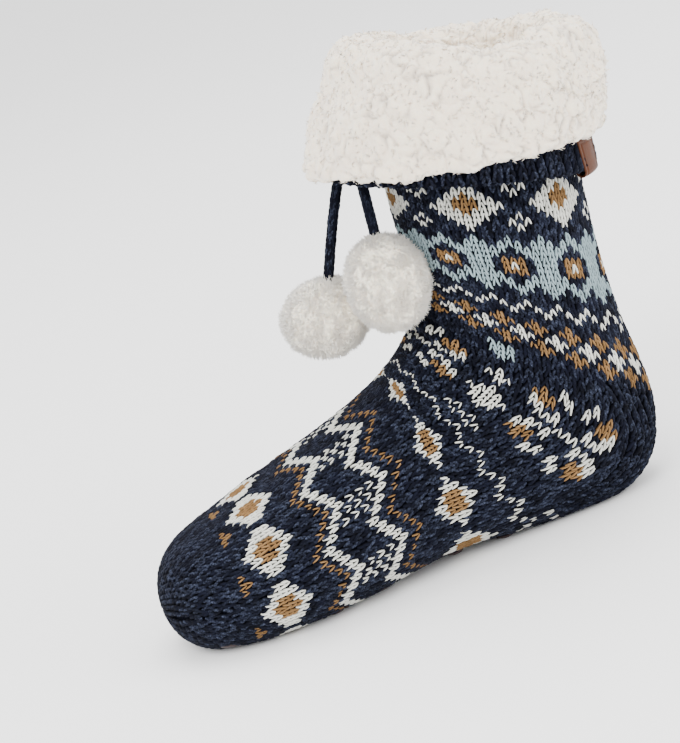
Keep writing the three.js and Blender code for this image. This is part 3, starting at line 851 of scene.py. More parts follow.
def pile_finish(name, colour, shadow, curl, sheen):
    """Fleece or fur: off-white, with painted shade, warmer and darker, down in its hollows."""
    soft = {"Subsurface_Weight": 0.5, "Subsurface_Scale": 2.5 * MM, "Specular_IOR_Level": 0.2}
    finish = Finish(name, 0.95, sheen, **soft)
    finish.shader.inputs["Subsurface Radius"].default_value = (1.0, 0.85, 0.7)
    hollow_shade = finish.value("tone")
    cloud = finish.noise(9.0, 2.0)
    # Painted shade: the colour turns to the shadow colour where the tone is low, down in the clumps' hollows.
    base = finish.blend(finish.ramp(hollow_shade, 1, 0, 0.1, 0.7), rgba(colour), rgba(shadow))
    base = finish.blend(finish.ramp(cloud, 0, 0.16, 0.35, 0.7), base, rgba(shadow))
    finish.colour(base)
    fine = finish.noise(curl, 3.0, 0.7, distortion=1.2)
    hairs = finish.noise(0.4, 2.0, 0.7)
    finish.bump((fine, 0.55, 0.8), (hairs, 0.5, 0.3))
    return finish.material


def ground_finish(name, colour, lining):
    """The knit between its stitches, navy mottled darker than the yarn as painted shade in the gaps, and its
    fleece-lined inside.
    """
    finish = Finish(name, 1.0, Specular_IOR_Level=0.05)
    cloud = finish.noise(1.6, 3.0, 0.7)
    fluffy = finish.ramp(cloud, 0, 1, 0.35, 0.7)
    # Painted shade: the ground's navy is mottled down to a third of the yarn's brightness, so the gaps
    # between stitches read dark.
    yarn = finish.blend(fluffy, rgba(colour, 0.35), rgba(colour, 1.0))
    fleece = finish.blend(fluffy, rgba(lining, 0.8), rgba(lining))
    finish.colour(finish.blend(finish.value("tone"), yarn, fleece))
    finish.bump((cloud, 0.8, 0.6))
    return finish.material


LEATHER_GRAIN = 0.7


def leather_finish(name, colour, edge):
    """Smooth full-grain leather with darker cut edges and a pressed line."""
    finish = Finish(name, 0.6, Specular_IOR_Level=0.1)
    cloud = finish.noise(6.0, 4.0, 0.6)
    inputs = {"Vector": finish.place.outputs["Object"], "Scale": 1 / (LEATHER_GRAIN * MM)}
    grain = finish.node("ShaderNodeTexVoronoi", inputs)
    base = finish.blend(finish.ramp(cloud, 0, 1, 0.3, 0.7), rgba(colour, 0.75), rgba(colour, 1.15))
    base = finish.blend(finish.value("tone"), base, rgba(edge))
    finish.colour(base)
    roughness = finish.ramp(cloud, 0.42, 0.62)
    finish.feed(finish.shader.inputs["Roughness"], roughness)
    finish.bump((grain.outputs["Distance"], 0.35, 0.15), (cloud, 0.2, 0.4))
    return finish.material


def silicone_finish(name, colour):
    """Poured silicone: dark, glossy, with a slightly uneven skin."""
    finish = Finish(name, 0.3, Specular_IOR_Level=0.3, Coat_Weight=0.15, Coat_Roughness=0.2)
    cloud = finish.noise(4.0, 2.0)
    finish.colour(finish.blend(cloud, rgba(colour, 0.7), rgba(colour, 1.4)))
    finish.feed(finish.shader.inputs["Roughness"], finish.ramp(cloud, 0.25, 0.45))
    finish.bump((finish.noise(1.5, 2.0), 0.25, 0.2))
    return finish.material


class KnitSettings(bpy.types.PropertyGroup):
    """Yarns of the knitting."""

    navy: FloatVectorProperty(
        name="Navy", description="Ground yarn", subtype="COLOR", size=3, default=(0.0024, 0.003, 0.0076)
    )
    fleck: FloatVectorProperty(
        name="Fleck",
        description="Pale fibres in the navy yarn",
        subtype="COLOR",
        size=3,
        default=(0.075, 0.09, 0.145),
    )
    cream: FloatVectorProperty(
        name="Cream", description="Cream yarn", subtype="COLOR", size=3, default=(0.6, 0.6, 0.545)
    )
    blue: FloatVectorProperty(
        name="Light blue", description="Light blue yarn", subtype="COLOR", size=3, default=(0.24, 0.32, 0.345)
    )
    ochre: FloatVectorProperty(
        name="Ochre", description="Ochre yarn", subtype="COLOR", size=3, default=(0.19, 0.105, 0.043)
    )


class CuffSettings(bpy.types.PropertyGroup):
    """The sherpa cuff and the pompoms."""

    pile: FloatVectorProperty(
        name="Pile", description="Fleece", subtype="COLOR", size=3, default=(0.94, 0.82, 0.66)
    )
    plush: FloatVectorProperty(
        name="Plush", description="Pompoms' fur", subtype="COLOR", size=3, default=(1.0, 0.89, 0.72)
    )
    # Painted shade: the colour that the fleece and the pompoms' cores turn to in their hollows.
    hollow_shade: FloatVectorProperty(
        name="Hollow",
        description="Fleece between its clumps",
        subtype="COLOR",
        size=3,
        default=(0.5, 0.43, 0.36),
    )
    clump: FloatProperty(
        name="Clump", description="Distance between the fleece's clumps", subtype="DISTANCE", default=10 * MM
    )
    clump_depth: FloatProperty(
        name="Clump depth", description="How far the clumps stand up", subtype="DISTANCE", default=4.2 * MM
    )
    curls: IntProperty(name="Curls", description="Loose curls on the fleece", default=7000, min=0)
    fur: IntProperty(name="Fur", description="Hairs on each pompom", default=7000, min=0)


class TrimSettings(bpy.types.PropertyGroup):
    """The leather tab and the grips."""

    leather: FloatVectorProperty(
        name="Leather", description="Tab", subtype="COLOR", size=3, default=(0.06, 0.017, 0.0045)
    )
    edge: FloatVectorProperty(
        name="Cut edge", description="Tab's edge", subtype="COLOR", size=3, default=(0.03, 0.01, 0.005)
    )
    silicone: FloatVectorProperty(
        name="Silicone", description="Grips", subtype="COLOR", size=3, default=(0.028, 0.014, 0.014)
    )


class StageSettings(bpy.types.PropertyGroup):
    """Camera, floor and lights."""

    azimuth: FloatProperty(
        name="Azimuth", description="Camera's bearing", subtype="ANGLE", default=math.radians(-8)
    )
    elevation: FloatProperty(
        name="Elevation",
        description="Camera's height over the level",
        subtype="ANGLE",
        default=math.radians(16),
    )
    roll: FloatProperty(name="Roll", description="Camera's roll", subtype="ANGLE", default=math.radians(18))
    distance: FloatProperty(name="Distance", description="Camera to sock", subtype="DISTANCE", default=1.06)
    angle_of_view: FloatProperty(
        name="Angle of view", description="From top to bottom", subtype="ANGLE", default=math.radians(18.4)
    )
    key: FloatProperty(name="Key", description="Power of the main light", unit="POWER", default=44.0)


class SOCK_OT_cords(bpy.types.Operator):
    """Makes the two knitted cords that carry the pompoms."""

    bl_idname = "sock.cords"
    bl_label = "Cords"

    def execute(self, context):
        yarns = context.scene.sock_knit
        finish = yarn_finish("cord yarn", yarns.navy, yarns.fleck, 0.3, 0.4, flecks=0.4)
        rng = np.random.default_rng(SEED)
        for name, route in CORD_ROUTES.items():
            make_cord(name, route, finish, rng)
        return {"FINISHED"}


LEG_FRONT = LEVEL_FRONT * LEG_DEPTH + LEG_LEAN / 2
CORD_DIAMETER = 5
CORD_WALES = 5  # stitches round a cord
CORD_PITCH = 2.6  # of its rows
CORD_SINK = 0.35  # how far its stitches' ground lies within its diameter
LINE_STEPS = 24  # from one point of a route to the next

# Routes: x from the leg's front, y, and z from the hem's height.
CORD_ROUTES = {
    "pompom_cord_near": (
        (1.5, -7, 28), (-3.2, -7.2, 28.6), (-7.8, -7.8, 26.9), (-11.2, -8.8, 22.6), (-13.2, -10, 16.6),
        (-14.3, -11.4, 10), (-15, -12.8, 3), (-15.6, -14.2, -4), (-16.2, -15.4, -11), (-16.7, -16.4, -17.5),
    ),
    "pompom_cord_far": (
        (1.5, 5.5, 28), (-3.2, 5.6, 28.8), (-8.4, 5.7, 27.6), (-13.4, 5.7, 24.2), (-17.9, 5.7, 19.2),
        (-21.8, 5.7, 12.8), (-25.3, 5.6, 5.8), (-28.6, 5.5, -1.4), (-31.7, 5.4, -8.6), (-34.7, 5.3, -15.8),
        (-37.6, 5.2, -23), (-40.4, 5.1, -30.2),
    ),
}


def cord_line(route):
    """A smooth line through a route's points, at equal steps, from the leg to the pompom."""
    table = np.array(route, float) + [LEG_FRONT, 0, HEM_HEIGHT]
    table = np.vstack([2 * table[0] - table[1], table, 2 * table[-1] - table[-2]])
    line = smooth_between(table, LINE_STEPS)
    length = np.concatenate([[0], np.cumsum(np.linalg.norm(np.diff(line, axis=0), axis=1))])
    places = np.linspace(0, length[-1], int(length[-1] / CORD_PITCH * ROW_SAMPLES) + 1)
    return np.stack([np.interp(places, length, line[:, k]) for k in range(3)], -1), length[-1]


def tube_sheet(line, radius, columns):
    """Points of a tube round a line."""
    run = unit(np.gradient(line, axis=0))
    side = unit(np.cross(run, [0.0, 1.0, 0.0]))
    third = np.cross(run, side)
    angle = np.linspace(0, 2 * math.pi, columns, endpoint=False)
    spokes = side[:, None] * np.cos(angle)[:, None] + third[:, None] * np.sin(angle)[:, None]
    return line[:, None] + radius * spokes


def make_cord(name, route, finish, rng):
    """One knitted cord with its core."""
    line, length = cord_line(route)
    points = tube_sheet(line, CORD_DIAMETER / 2 - CORD_SINK, CORD_WALES * WALE_SAMPLES)
    sheet = Sheet(points, True, ROW_SAMPLES, WALE_SAMPLES)
    outward = (sheet.normals * (points - line[:, None])).sum() > 0
    if not outward:
        sheet = Sheet(points[:, ::-1], True, ROW_SAMPLES, WALE_SAMPLES)
    rows, wales = np.meshgrid(np.arange(int(sheet.rows())), np.arange(CORD_WALES), indexing="ij")
    first, last = (line[k, None, None].repeat(points.shape[1], 1) for k in (0, -1))
    core = np.concatenate([first, sheet.points, last])
    legs = knit(sheet, rows.ravel().astype(float), wales.ravel().astype(float), "cord", rng)
    tube = ribbon_mesh(np.concatenate([core, core[:, :1]], axis=1)[None], rng)
    made = mesh_object(name + "_knit", joined([legs, tube]), finish)
    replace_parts(made, name)


class SOCK_OT_knit(bpy.types.Operator):
    """Knits the foot and leg, the ribbed heel and the ribbed hem."""

    bl_idname = "sock.knit"
    bl_label = "Knitting"

    def execute(self, context):
        yarns = context.scene.sock_knit
        navy = yarn_finish("navy yarn", yarns.navy, yarns.fleck, 0.3, 0.6, flecks=0.45)
        colours = {
            "W": ("cream", yarn_finish("cream yarn", yarns.cream, (0.86, 0.86, 0.82), 0.4, 0.12)),
            "B": ("blue", yarn_finish("light blue yarn", yarns.blue, (0.38, 0.46, 0.48), 0.3, 0.16)),
            "O": ("ochre", yarn_finish("ochre yarn", yarns.ochre, (0.34, 0.215, 0.105), 0.3, 0.25)),
        }
        rng = np.random.default_rng(SEED)
        body = knit_body()
        make_backing(body, ground_finish("knit ground", yarns.navy, context.scene.sock_cuff.pile))
        rows, wales, letters = stitches_of(body)
        for letter, (label, finish) in colours.items():
            parts = []
            for drawn, yarn in ((letter, "cream"), (letter.lower(), "thin")):
                picked = letters == drawn
                if picked.any():
                    parts.append(knit(body, rows[picked], wales[picked], yarn, rng))
            mesh_object(f"knit_{label}", joined(parts), finish)
        ground = letters == "N"
        for label, low, high in (("leg", 0, HEEL_TOP_ROW), ("foot", HEEL_TOP_ROW, CAP_ROW)):
            picked = ground & (rows >= low) & (rows < high)
            data = knit(body, rows[picked], wales[picked], "navy", rng)
            mesh_object(f"knit_navy_{label}", data, navy)
        mesh_object("knit_toe_cap", toe_cap(body, rng), navy)
        panel = panel_sheet(body)
        mesh_object("knit_heel_rib", rib_columns(panel, PANEL_RIBS, rng), navy)
        hem = hem_sheet()
        mesh_object("knit_hem_rib", rib_columns(hem, RIB_COUNT, rng), navy)
        return {"FINISHED"}


def stitches_of(body):
    """Row, stitch and yarn letter of each stitch between the fold and the toe cap."""
    chart = stranded_chart()
    rows, wales = np.meshgrid(np.arange(COVERED_ROWS, CAP_ROW), np.arange(WALES), indexing="ij")
    rows, wales = rows.ravel(), wales.ravel()
    panel_rows = panel_place(body)[0]
    last = panel_rows[-1]
    inside = np.abs(wales + 0.5 - WALES / 2) < panel_half(rows, last) - 0.3
    kept = ~(inside & (rows >= HEEL_TOP_ROW) & (rows < last - 1))
    rows, wales = rows[kept], wales[kept]
    return rows.astype(float), wales.astype(float), chart[rows, wales]


def toe_cap(body, rng):
    """The plain toe: stitches in straight columns from the top and the sole to the side lines."""
    last = int(body.rows()) - 1
    ring_steps = np.linalg.norm(np.roll(body.points, -1, axis=1) - body.points, axis=-1).sum(axis=1)
    start = ring_steps[CAP_ROW * ROW_SAMPLES]
    rows, wales = [], []
    for row in range(CAP_ROW, last):
        narrowed = ring_steps[row * ROW_SAMPLES] / start
        half = WALES / 4 * narrowed
        for column in range(-WALES // 4, WALES // 4):
            middle = column + 0.5
            if abs(middle) < half:
                for centre in (0, WALES / 2):
                    rows.append(row)
                    wales.append(centre + middle / narrowed - 0.5)
    return knit(body, np.array(rows, float), np.array(wales, float), "navy", rng)


def rib_columns(sheet, ribs, rng):
    """A column of stitches on each rib of a ribbed sheet."""
    rows, wales = np.meshgrid(np.arange(int(sheet.rows())), np.arange(ribs), indexing="ij")
    return knit(sheet, rows.ravel().astype(float), wales.ravel().astype(float), "rib", rng)


BACKING_DEPTH = 0.9  # of the ground below the stitches' surface
BACKING_ROWS = 2  # rows of stitches to a ring
FOLD_RINGS = 8  # from the fold down to the hem


def make_backing(body, finish):
    """The closed wall behind the stitches, with the fold, the hem and the inside."""
    grid = (slice(None, None, BACKING_ROWS * ROW_SAMPLES), slice(None, None, WALE_SAMPLES // 2))
    points, normals = body.points[grid], body.normals[grid]
    count = points.shape[1]
    tip = np.array([-TOE_REACH + 1.0, 0, TOE_TIP_HEIGHT * INSTEP_HEIGHT])
    outer = points - normals * BACKING_DEPTH
    inner = points - normals * KNIT_WALL
    angle = ring_angles(points[0])
    down = [mix(FOLD_HEIGHT, hem_at(angle), share) for share in np.linspace(0, 1, FOLD_RINGS)]
    inside_fold = [cuff_point(angle, height, flare(angle, height) + 0.6) for height in down]
    outside_fold = [cuff_point(angle, height, flare(angle, height) + KNIT_WALL - 0.8) for height in down]
    top = cuff_point(angle, FOLD_HEIGHT + KNIT_WALL / 2, FOLD_GAP / 2)
    over = cuff_point(angle, LEG_TOP - 0.4, FOLD_GAP / 2)
    ends = [np.broadcast_to(tip, (count, 3)), np.broadcast_to(tip + [2.0, 0, 0], (count, 3))]
    rings = [ends[0], *outer[::-1], top, *inside_fold, *outside_fold[::-1], over, *inner, ends[1]]
    tones = np.zeros(len(rings))
    tones[-len(inner) - 1 :] = 1
    made = piece("knit_backing", grid_mesh("knit_backing", np.array(rings), tones), finish)
    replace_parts(made, "knit_upper")


def ring_angles(points):
    """The cuff's angle at each point of a ring of the leg."""
    middle = LEG_MIDDLE + lean(FOLD_HEIGHT)
    return np.arctan2(-points[:, 1] / LEG_HALF_WIDTH, -(points[:, 0] - middle) / LEG_HALF_DEPTH)


class SOCK_OT_cuff(bpy.types.Operator):
    """Makes the sherpa cuff with its clumps and loose curls."""

    bl_idname = "sock.cuff"
    bl_label = "Sherpa cuff"

    def execute(self, context):
        cuff = context.scene.sock_cuff
        finish = pile_finish("sherpa", cuff.pile, cuff.hollow_shade, 2.2, 0.5)
        rng = np.random.default_rng(SEED)
        rings, normals, height = fleece_rings(cuff.clump / MM, cuff.clump_depth / MM)
        closed = np.concatenate([rings, rings[:1]])
        closed = np.concatenate([closed, closed[:, :1]], axis=1)
        data = list(ribbon_mesh(closed[None], rng))
        # The clumps' height goes to the tone, which the finish turns into painted shade in the hollows.
        tone = np.concatenate([height, height[:1]])
        data[3] = np.concatenate([tone, tone[:, :1]], axis=1).ravel()
        made = mesh_object("fleece_pile", data, finish)
        merge_seams(made)
        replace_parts(made, "fleece_cuff")
        curls = loose_curls(rings, normals, height, cuff.curls, rng)
        mesh_object("fleece_curls", curls, finish)
        return {"FINISHED"}


def merge_seams(made):
    """Welds the meeting edges of a wrapped grid."""
    bm = bmesh.new()
    bm.from_mesh(made.data)
    bmesh.ops.remove_doubles(bm, verts=bm.verts, dist=1e-6)
    bm.to_mesh(made.data)
    bm.free()


# Shares of the way from the fleece's hem to the fold, and of FLEECE_PILE that stands there.
PILE_SECTIONS = ((-0.03, 0.3), (0.04, 0.58), (0.3, 0.8), (0.65, 0.98), (1.0, 1.04))

# Over the crown: share of the way from the fold up, stand-off in FLEECE_PILE and in FLEECE_WALL.
CROWN_SECTIONS = (
    (0.4, 1.2, 0),
    (0.8, 0.85, 0),
    (1.0, 0.35, 0),
    (0.97, 0, 0.5),
    (0.7, 0, 1.15),
    (0.2, 0, 1.4),
)
FLEECE_CLEARANCE = 0.5  # between the knit's wall and the fleece
FLEECE_BACKING = KNIT_WALL + FLEECE_CLEARANCE
FLEECE_ACROSS = 520  # points round the cuff
FLEECE_STEP = 0.8  # between its rings where it shows
FLEECE_STEPS = 12  # from one section of its path to the next
LINING_WEIGHT = 0.4  # share of the rings that the lining gets
HIDDEN_WEIGHT = 0.12  # and the side against the knit


def fleece_path(angle):
    """Points down the fleece's section at angles: from the lining up, over and down to the hem."""
    rows = []
    for share in (1.0, 0.66, 0.33, 0.08):
        height = mix(FOLD_HEIGHT, LEG_TOP - LINING_DEPTH, share)
        rows.append(cuff_point(angle, height, -(FLEECE_BACKING + FLEECE_WALL)))
    for up, out, into in reversed(CROWN_SECTIONS):
        height = mix(FOLD_HEIGHT, crown_at(angle), up)
        rows.append(cuff_point(angle, height, FOLD_GAP / 2 + out * FLEECE_PILE - into * FLEECE_WALL))
    for up, pile in reversed(PILE_SECTIONS):
        height = mix(fleece_hem_at(angle), FOLD_HEIGHT, up)
        rows.append(cuff_point(angle, height, flare(angle, height) + FLEECE_BACKING + pile * FLEECE_PILE))
    for share in (0.0, 0.5, 1.0):
        height = mix(fleece_hem_at(angle), FOLD_HEIGHT, share) + 0.8 * (1 - share)
        rows.append(cuff_point(angle, height, flare(angle, height) + FLEECE_BACKING - 0.6))
    rows.append(cuff_point(angle, LEG_TOP + FLEECE_CLEARANCE, FOLD_GAP / 2))
    for share in (0.03, 1.0):
        height = mix(FOLD_HEIGHT, LEG_TOP - LINING_DEPTH, share)
        rows.append(cuff_point(angle, height, -FLEECE_BACKING))
    return np.array(rows)


SHOWING_FROM, SHOWING_TO = 2, 15.3  # sections of the fleece's path between which it shows


def fleece_rings(clump, depth):
    """The fleece as closed rings, with normals and how high each point stands in its clump."""
    angle = np.linspace(0, 2 * math.pi, FLEECE_ACROSS, endpoint=False)
    path = fleece_path(angle)
    table = np.vstack([path[-1:], path, path[:2]])
    dense = smooth_between(table, FLEECE_STEPS)[:-1]
    sections = np.arange(len(dense)) / FLEECE_STEPS
    side = dense[:, FLEECE_ACROSS // 4]
    step = np.linalg.norm(np.diff(side, axis=0, append=side[:1]), axis=1)
    weight = np.where(sections < SHOWING_TO, 1.0, HIDDEN_WEIGHT)
    weight[sections <= SHOWING_FROM] = LINING_WEIGHT
    walk = np.concatenate([[0], np.cumsum(step * weight)])
    places = np.arange(0, walk[-1], FLEECE_STEP)
    index = np.interp(places, walk, np.arange(len(dense) + 1))
    near = index.astype(int) % len(dense)
    far = (near + 1) % len(dense)
    rings = mix(dense[near], dense[far], (index - index.astype(int))[:, None, None])
    fading = [0, 1, SHOWING_TO - 0.6, SHOWING_TO + 0.2]
    shown = np.interp(index / FLEECE_STEPS, fading, [0, 1, 1, 0])
    down = np.roll(rings, -1, 0) - np.roll(rings, 1, 0)
    around = np.roll(rings, -1, 1) - np.roll(rings, 1, 1)
    normals = unit(np.cross(down, around))
    height, lift = clump_height(rings, clump, depth)
    rings = rings + normals * (lift * shown[:, None])[..., None]
    return rings, normals, mix(0.5, height, shown[:, None])


# The sherpa's noises, with spans in clumps.
BEND_SPAN, CURL_SPAN, GAP_SPAN, PUFF_SPAN = 0.7, 0.45, 0.8, 2.4
CLUMP_BEND, CURL_BENDS = 0.5, 1.8  # how far a clump is bent, and a curl in it as a multiple
GAP_PLACE = Vector((9.0, 4.0, 7.0))  # where the gaps' noise is read, apart from the others
GAP_SHARPNESS, GAP_RARITY = 2.6, 0.9  # of the creases between clumps
CREASE_SLOPE, CURL_SLOPE = 2.2, 2.0
SINK = 0.4  # how far the pile's ground lies down, in clump depths
PUFF = 0.7  # and how far its broad humps rise


def clump_height(rings, clump, depth):
    """The clumps' height from 0 to 1, and the lift that it gives."""
    noise.seed_set(SEED)
    heights, lifts = [], []
    for point in rings.reshape(-1, 3).tolist():
        place = Vector(point)
        bend = noise.noise_vector(place / (BEND_SPAN * clump)) * CLUMP_BEND
        broad = noise.voronoi(place / clump + bend)[0]
        curl = noise.voronoi(place / (CURL_SPAN * clump) + bend * CURL_BENDS)[0]
        gap = 0.5 + 0.5 * noise.noise(place / (GAP_SPAN * clump) + GAP_PLACE)
        open_here = max(0.0, min(1.0, GAP_SHARPNESS * gap - GAP_RARITY))
        big = min(1.0, (broad[1] - broad[0]) * CREASE_SLOPE) ** 0.5
        small = min(1.0, (curl[1] - curl[0]) * CURL_SLOPE) ** 0.6
        puff = noise.noise(place / (PUFF_SPAN * clump))
        # This height also sets the painted shade in the fleece's creases.
        heights.append(1 - open_here * (1 - big) - 0.25 * (1 - open_here) * (1 - small))
        lifts.append(depth * (mix(0.25, 0.7, open_here) * big + 0.18 * small - SINK + PUFF * puff))
    shape = rings.shape[:2]
    return np.array(heights).reshape(shape), np.array(lifts).reshape(shape)


CURL_LENGTH = 2.6
CURL_WIDTH = 0.7
CURL_BEND = 1.6
CURL_HEIGHT = 0.55  # of the clumps, over which curls stand
CURL_ROOT = 0.4  # how deep they are rooted
HAIR_SHARES = (0.0, 0.35, 0.72, 1.0)  # along a hair: its root, two rings and its tip
HAIR_WIDTHS = (1.0, 0.7)
HAIR_SIDES = 3
HAIR_POINTS = 2 + HAIR_SIDES * len(HAIR_WIDTHS)


def loose_curls(rings, normals, height, count, rng):
    """Short curled tufts that stand on the fleece's clumps."""
    rows = rng.integers(0, len(rings), count * 3)
    columns = rng.integers(0, rings.shape[1], count * 3)
    kept = height[rows, columns] > CURL_HEIGHT
    rows, columns = rows[kept][:count], columns[kept][:count]
    root, out = rings[rows, columns], normals[rows, columns]
    return spindles(root - CURL_ROOT * out, out, CURL_LENGTH, CURL_WIDTH, CURL_BEND, rng)


def spindles(root, out, length, width, bend, rng):
    """Closed three-sided hairs that grow from roots along directions and curl over."""
    count = len(root)
    size = length * (0.6 + 0.6 * rng.random((count, 1, 1)))
    aside = unit(np.cross(out, rng.normal(size=(count, 3))))
    third = np.cross(out, aside)
    share = np.array(HAIR_SHARES)[None, :, None]
    turn = bend * (0.5 + rng.random((count, 1, 1))) * share
    line = root[:, None] + size * share * (out[:, None] * np.cos(turn) + aside[:, None] * np.sin(turn))
    angle = np.arange(HAIR_SIDES) * 2 * math.pi / HAIR_SIDES
    spokes = aside[:, None] * np.cos(angle)[:, None] + third[:, None] * np.sin(angle)[:, None]
    circles = [line[:, i + 1, None] + spokes * width / 2 * w for i, w in enumerate(HAIR_WIDTHS)]
    vertices = np.concatenate([line[:, :1], *circles, line[:, -1:]], axis=1)
    faces = []
    for i in range(HAIR_SIDES):
        low = (1 + i, 1 + (i + 1) % HAIR_SIDES)
        high = (low[0] + HAIR_SIDES, low[1] + HAIR_SIDES)
        faces += [(0, low[1], low[0]), (*low, high[1]), (low[0], high[1], high[0]), (*high, HAIR_POINTS - 1)]
    faces = np.array(faces)[None] + HAIR_POINTS * np.arange(count)[:, None, None]
    uv = np.tile(np.linspace(0, 1, HAIR_POINTS)[:, None], (count, 2))
    tone = np.repeat(0.6 + 0.4 * rng.random(count), HAIR_POINTS)
    return vertices.reshape(-1, 3), faces.reshape(-1, 3), uv, tone


class SOCK_OT_pompoms(bpy.types.Operator):
    """Makes the two fur pompoms."""

    bl_idname = "sock.pompoms"
    bl_label = "Pompoms"

    def execute(self, context):
        cuff = context.scene.sock_cuff
        finish = pile_finish("pompom fur", cuff.plush, cuff.hollow_shade, 3.0, 0.6)
        rng = np.random.default_rng(SEED + 1)
        for name, radii in POMPOM_RADII.items():
            make_pompom(name, middle_of(name), np.array(radii), cuff.fur, finish, rng)
        return {"FINISHED"}


POMPOM_RADII = {"pompom_near": (19.5, 19.0, 23.0), "pompom_far": (21.5, 19.5, 18.5)}
CORE_SHARE = 0.95  # of the radius
LUMP_SPANS = (7.0, 1.6)  # of the core's broad and fine lumps
LUMP_HEIGHTS = (1.6, 0.7)
HAIR_LENGTH = 3.1
HAIR_WIDTH = 0.5
HAIR_BEND = 0.5
HAIR_ROOT = 0.7  # how deep the hairs are rooted
HAIR_STRAY = 0.2  # how far they lean at random
PATCH_HEIGHT = 1.2  # of the fur's longer and shorter patches
FUR_LIFT = 0.45  # how far the hairs' shading turns up to the light


def make_pompom(name, centre, radii, hairs, finish, rng):
    """A pompom: a plush core and fine hair all round it."""
    bm = bmesh.new()
    bmesh.ops.create_icosphere(bm, subdivisions=6, radius=1)
    lumps = []
    for vert in bm.verts:
        way = vert.co.copy()
        place = Vector([w * r for w, r in zip(way, radii)]) * CORE_SHARE
        lump = sum(noise.noise(place / span) * high for span, high in zip(LUMP_SPANS, LUMP_HEIGHTS))
        lumps.append(lump)
        vert.co = (Vector(centre) + place + way * lump) * MM
    mesh = smooth_mesh(name + "_core", bm)
    # Painted shade: the core's tone follows its lumps, so its low places take the shadow colour.
    set_tone(mesh, np.clip(0.75 + 0.25 * np.array(lumps), 0, 1))
    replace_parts(piece(name + "_core", mesh, finish), name)
    way = unit(rng.normal(size=(hairs, 3)))
    patch = wobble(way * radii, LUMP_SPANS[0], 3)[:, None]
    root = centre + way * (radii * CORE_SHARE + patch * PATCH_HEIGHT - HAIR_ROOT)
    out = unit(way / radii * radii.mean() + HAIR_STRAY * rng.normal(size=way.shape))
    data = spindles(root, out, HAIR_LENGTH, HAIR_WIDTH, HAIR_BEND, rng)
    made = mesh_object(name + "_fur", data, finish)
    shade_by(made, unit(way + np.array([0, 0, FUR_LIFT])))
    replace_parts(made, name)


def shade_by(made, normals):
    """Shades each hair as the soft surface that it stands on."""
    each = len(made.data.vertices) // len(normals)
    made.data.normals_split_custom_set_from_vertices(np.repeat(normals, each, axis=0).tolist())


class SOCK_OT_tab(bpy.types.Operator):
    """Makes the leather tab folded round the hem."""

    bl_idname = "sock.tab"
    bl_label = "Leather tab"

    def execute(self, context):
        trim = context.scene.sock_trim
        make_tab(leather_finish("tab leather", trim.leather, trim.edge))
        return {"FINISHED"}


TAB_WIDTH = 19
TAB_REACH = 3
TAB_INNER_HEIGHT = 9
TAB_THICKNESS = 1.6
TAB_SLACK = 0.6
TAB_BEARING = math.radians(140)
TAB_ALONG = 96
TAB_ACROSS = 38
PRESSED_INSET = 2.2  # from the tab's edge to the pressed line
PRESSED_WIDTH = 0.45
PRESSED_DEPTH = 0.35
TAB_BEVEL = 0.35
RIM_ANGLE = math.radians(60)  # an edge that is sharper belongs to the rim


def make_tab(finish):
    """A strip bent round the hem, solidified and rounded at its edges."""
    gap = KNIT_WALL / 2 + TAB_SLACK + TAB_THICKNESS / 2
    low = hem_at(TAB_BEARING)
    outer = fleece_hem_at(TAB_BEARING) - low - TAB_REACH
    total = outer + math.pi * gap + TAB_INNER_HEIGHT
    radius = LEG_DEPTH / 2 + HEM_FLARE + HEM_SHIFT * math.cos(TAB_BEARING)
    bm = bmesh.new()
    bmesh.ops.create_grid(bm, x_segments=TAB_ACROSS, y_segments=TAB_ALONG, size=1)
    for vert in bm.verts:
        across, along = vert.co.x, (vert.co.y + 1) / 2 * total
        up, turn = folded(along, outer, gap)
        edge = min((1 - abs(across)) * TAB_WIDTH / 2, along, total - along)
        pressed = PRESSED_DEPTH * math.exp(-(((edge - PRESSED_INSET) / PRESSED_WIDTH) ** 2))
        if turn == math.pi:
            pressed = 0.0
        bearing = TAB_BEARING + across * TAB_WIDTH / 2 / radius
        wall = KNIT_WALL / 2 + flare(bearing, low + up)
        off = wall + (gap - pressed) * math.cos(turn)
        height = low + up - (gap - pressed) * math.sin(turn)
        vert.co = Vector(cuff_point(bearing, height, off).tolist()) * MM
    outward = cuff_point(TAB_BEARING, low + outer, 60.0) - cuff_point(TAB_BEARING, low + outer, 0.0)
    highest = max(bm.faces, key=lambda face: face.calc_center_median().z)
    if highest.normal.dot(Vector(outward.tolist())) < 0:
        bmesh.ops.reverse_faces(bm, faces=bm.faces)
    bmesh.ops.solidify(bm, geom=bm.faces[:], thickness=TAB_THICKNESS * MM / 2)
    rim = [edge for edge in bm.edges if edge.calc_face_angle(0) > RIM_ANGLE]
    rounding = {"segments": 2, "profile": 0.5, "affect": "EDGES", "material": -1, "clamp_overlap": True}
    bmesh.ops.bevel(bm, geom=rim, offset=TAB_BEVEL * MM, **rounding)
    mesh = smooth_mesh("tab_leather", bm)
    normals = np.array([vertex.normal for vertex in mesh.vertices])
    sideways = np.array([math.sin(TAB_BEARING - math.pi / 2), math.cos(TAB_BEARING - math.pi / 2), 0])
    set_tone(mesh, np.clip(np.abs(normals @ sideways) * 1.4 - 0.5, 0, 1))
    made = piece("tab_leather", mesh, finish)
    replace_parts(made, "leather_tab")


class SOCK_OT_grips(bpy.types.Operator):
    """Makes the domed grips under the sole."""

    bl_idname = "sock.grips"
    bl_label = "Grips"

    def execute(self, context):
        finish = silicone_finish("grip silicone", context.scene.sock_trim.silicone)
        make_grips(finish)
        return {"FINISHED"}


GRIP_HEIGHT = 0.9
GRIP_SINK = 0.5  # how far a grip reaches up into the knit
GRIP_STEPS = 24
GRIP_PROFILE = ((0, 0), (0.45, 0.0), (0.68, 0.07), (0.84, 0.24), (0.95, 0.52), (1.0, 1.0))


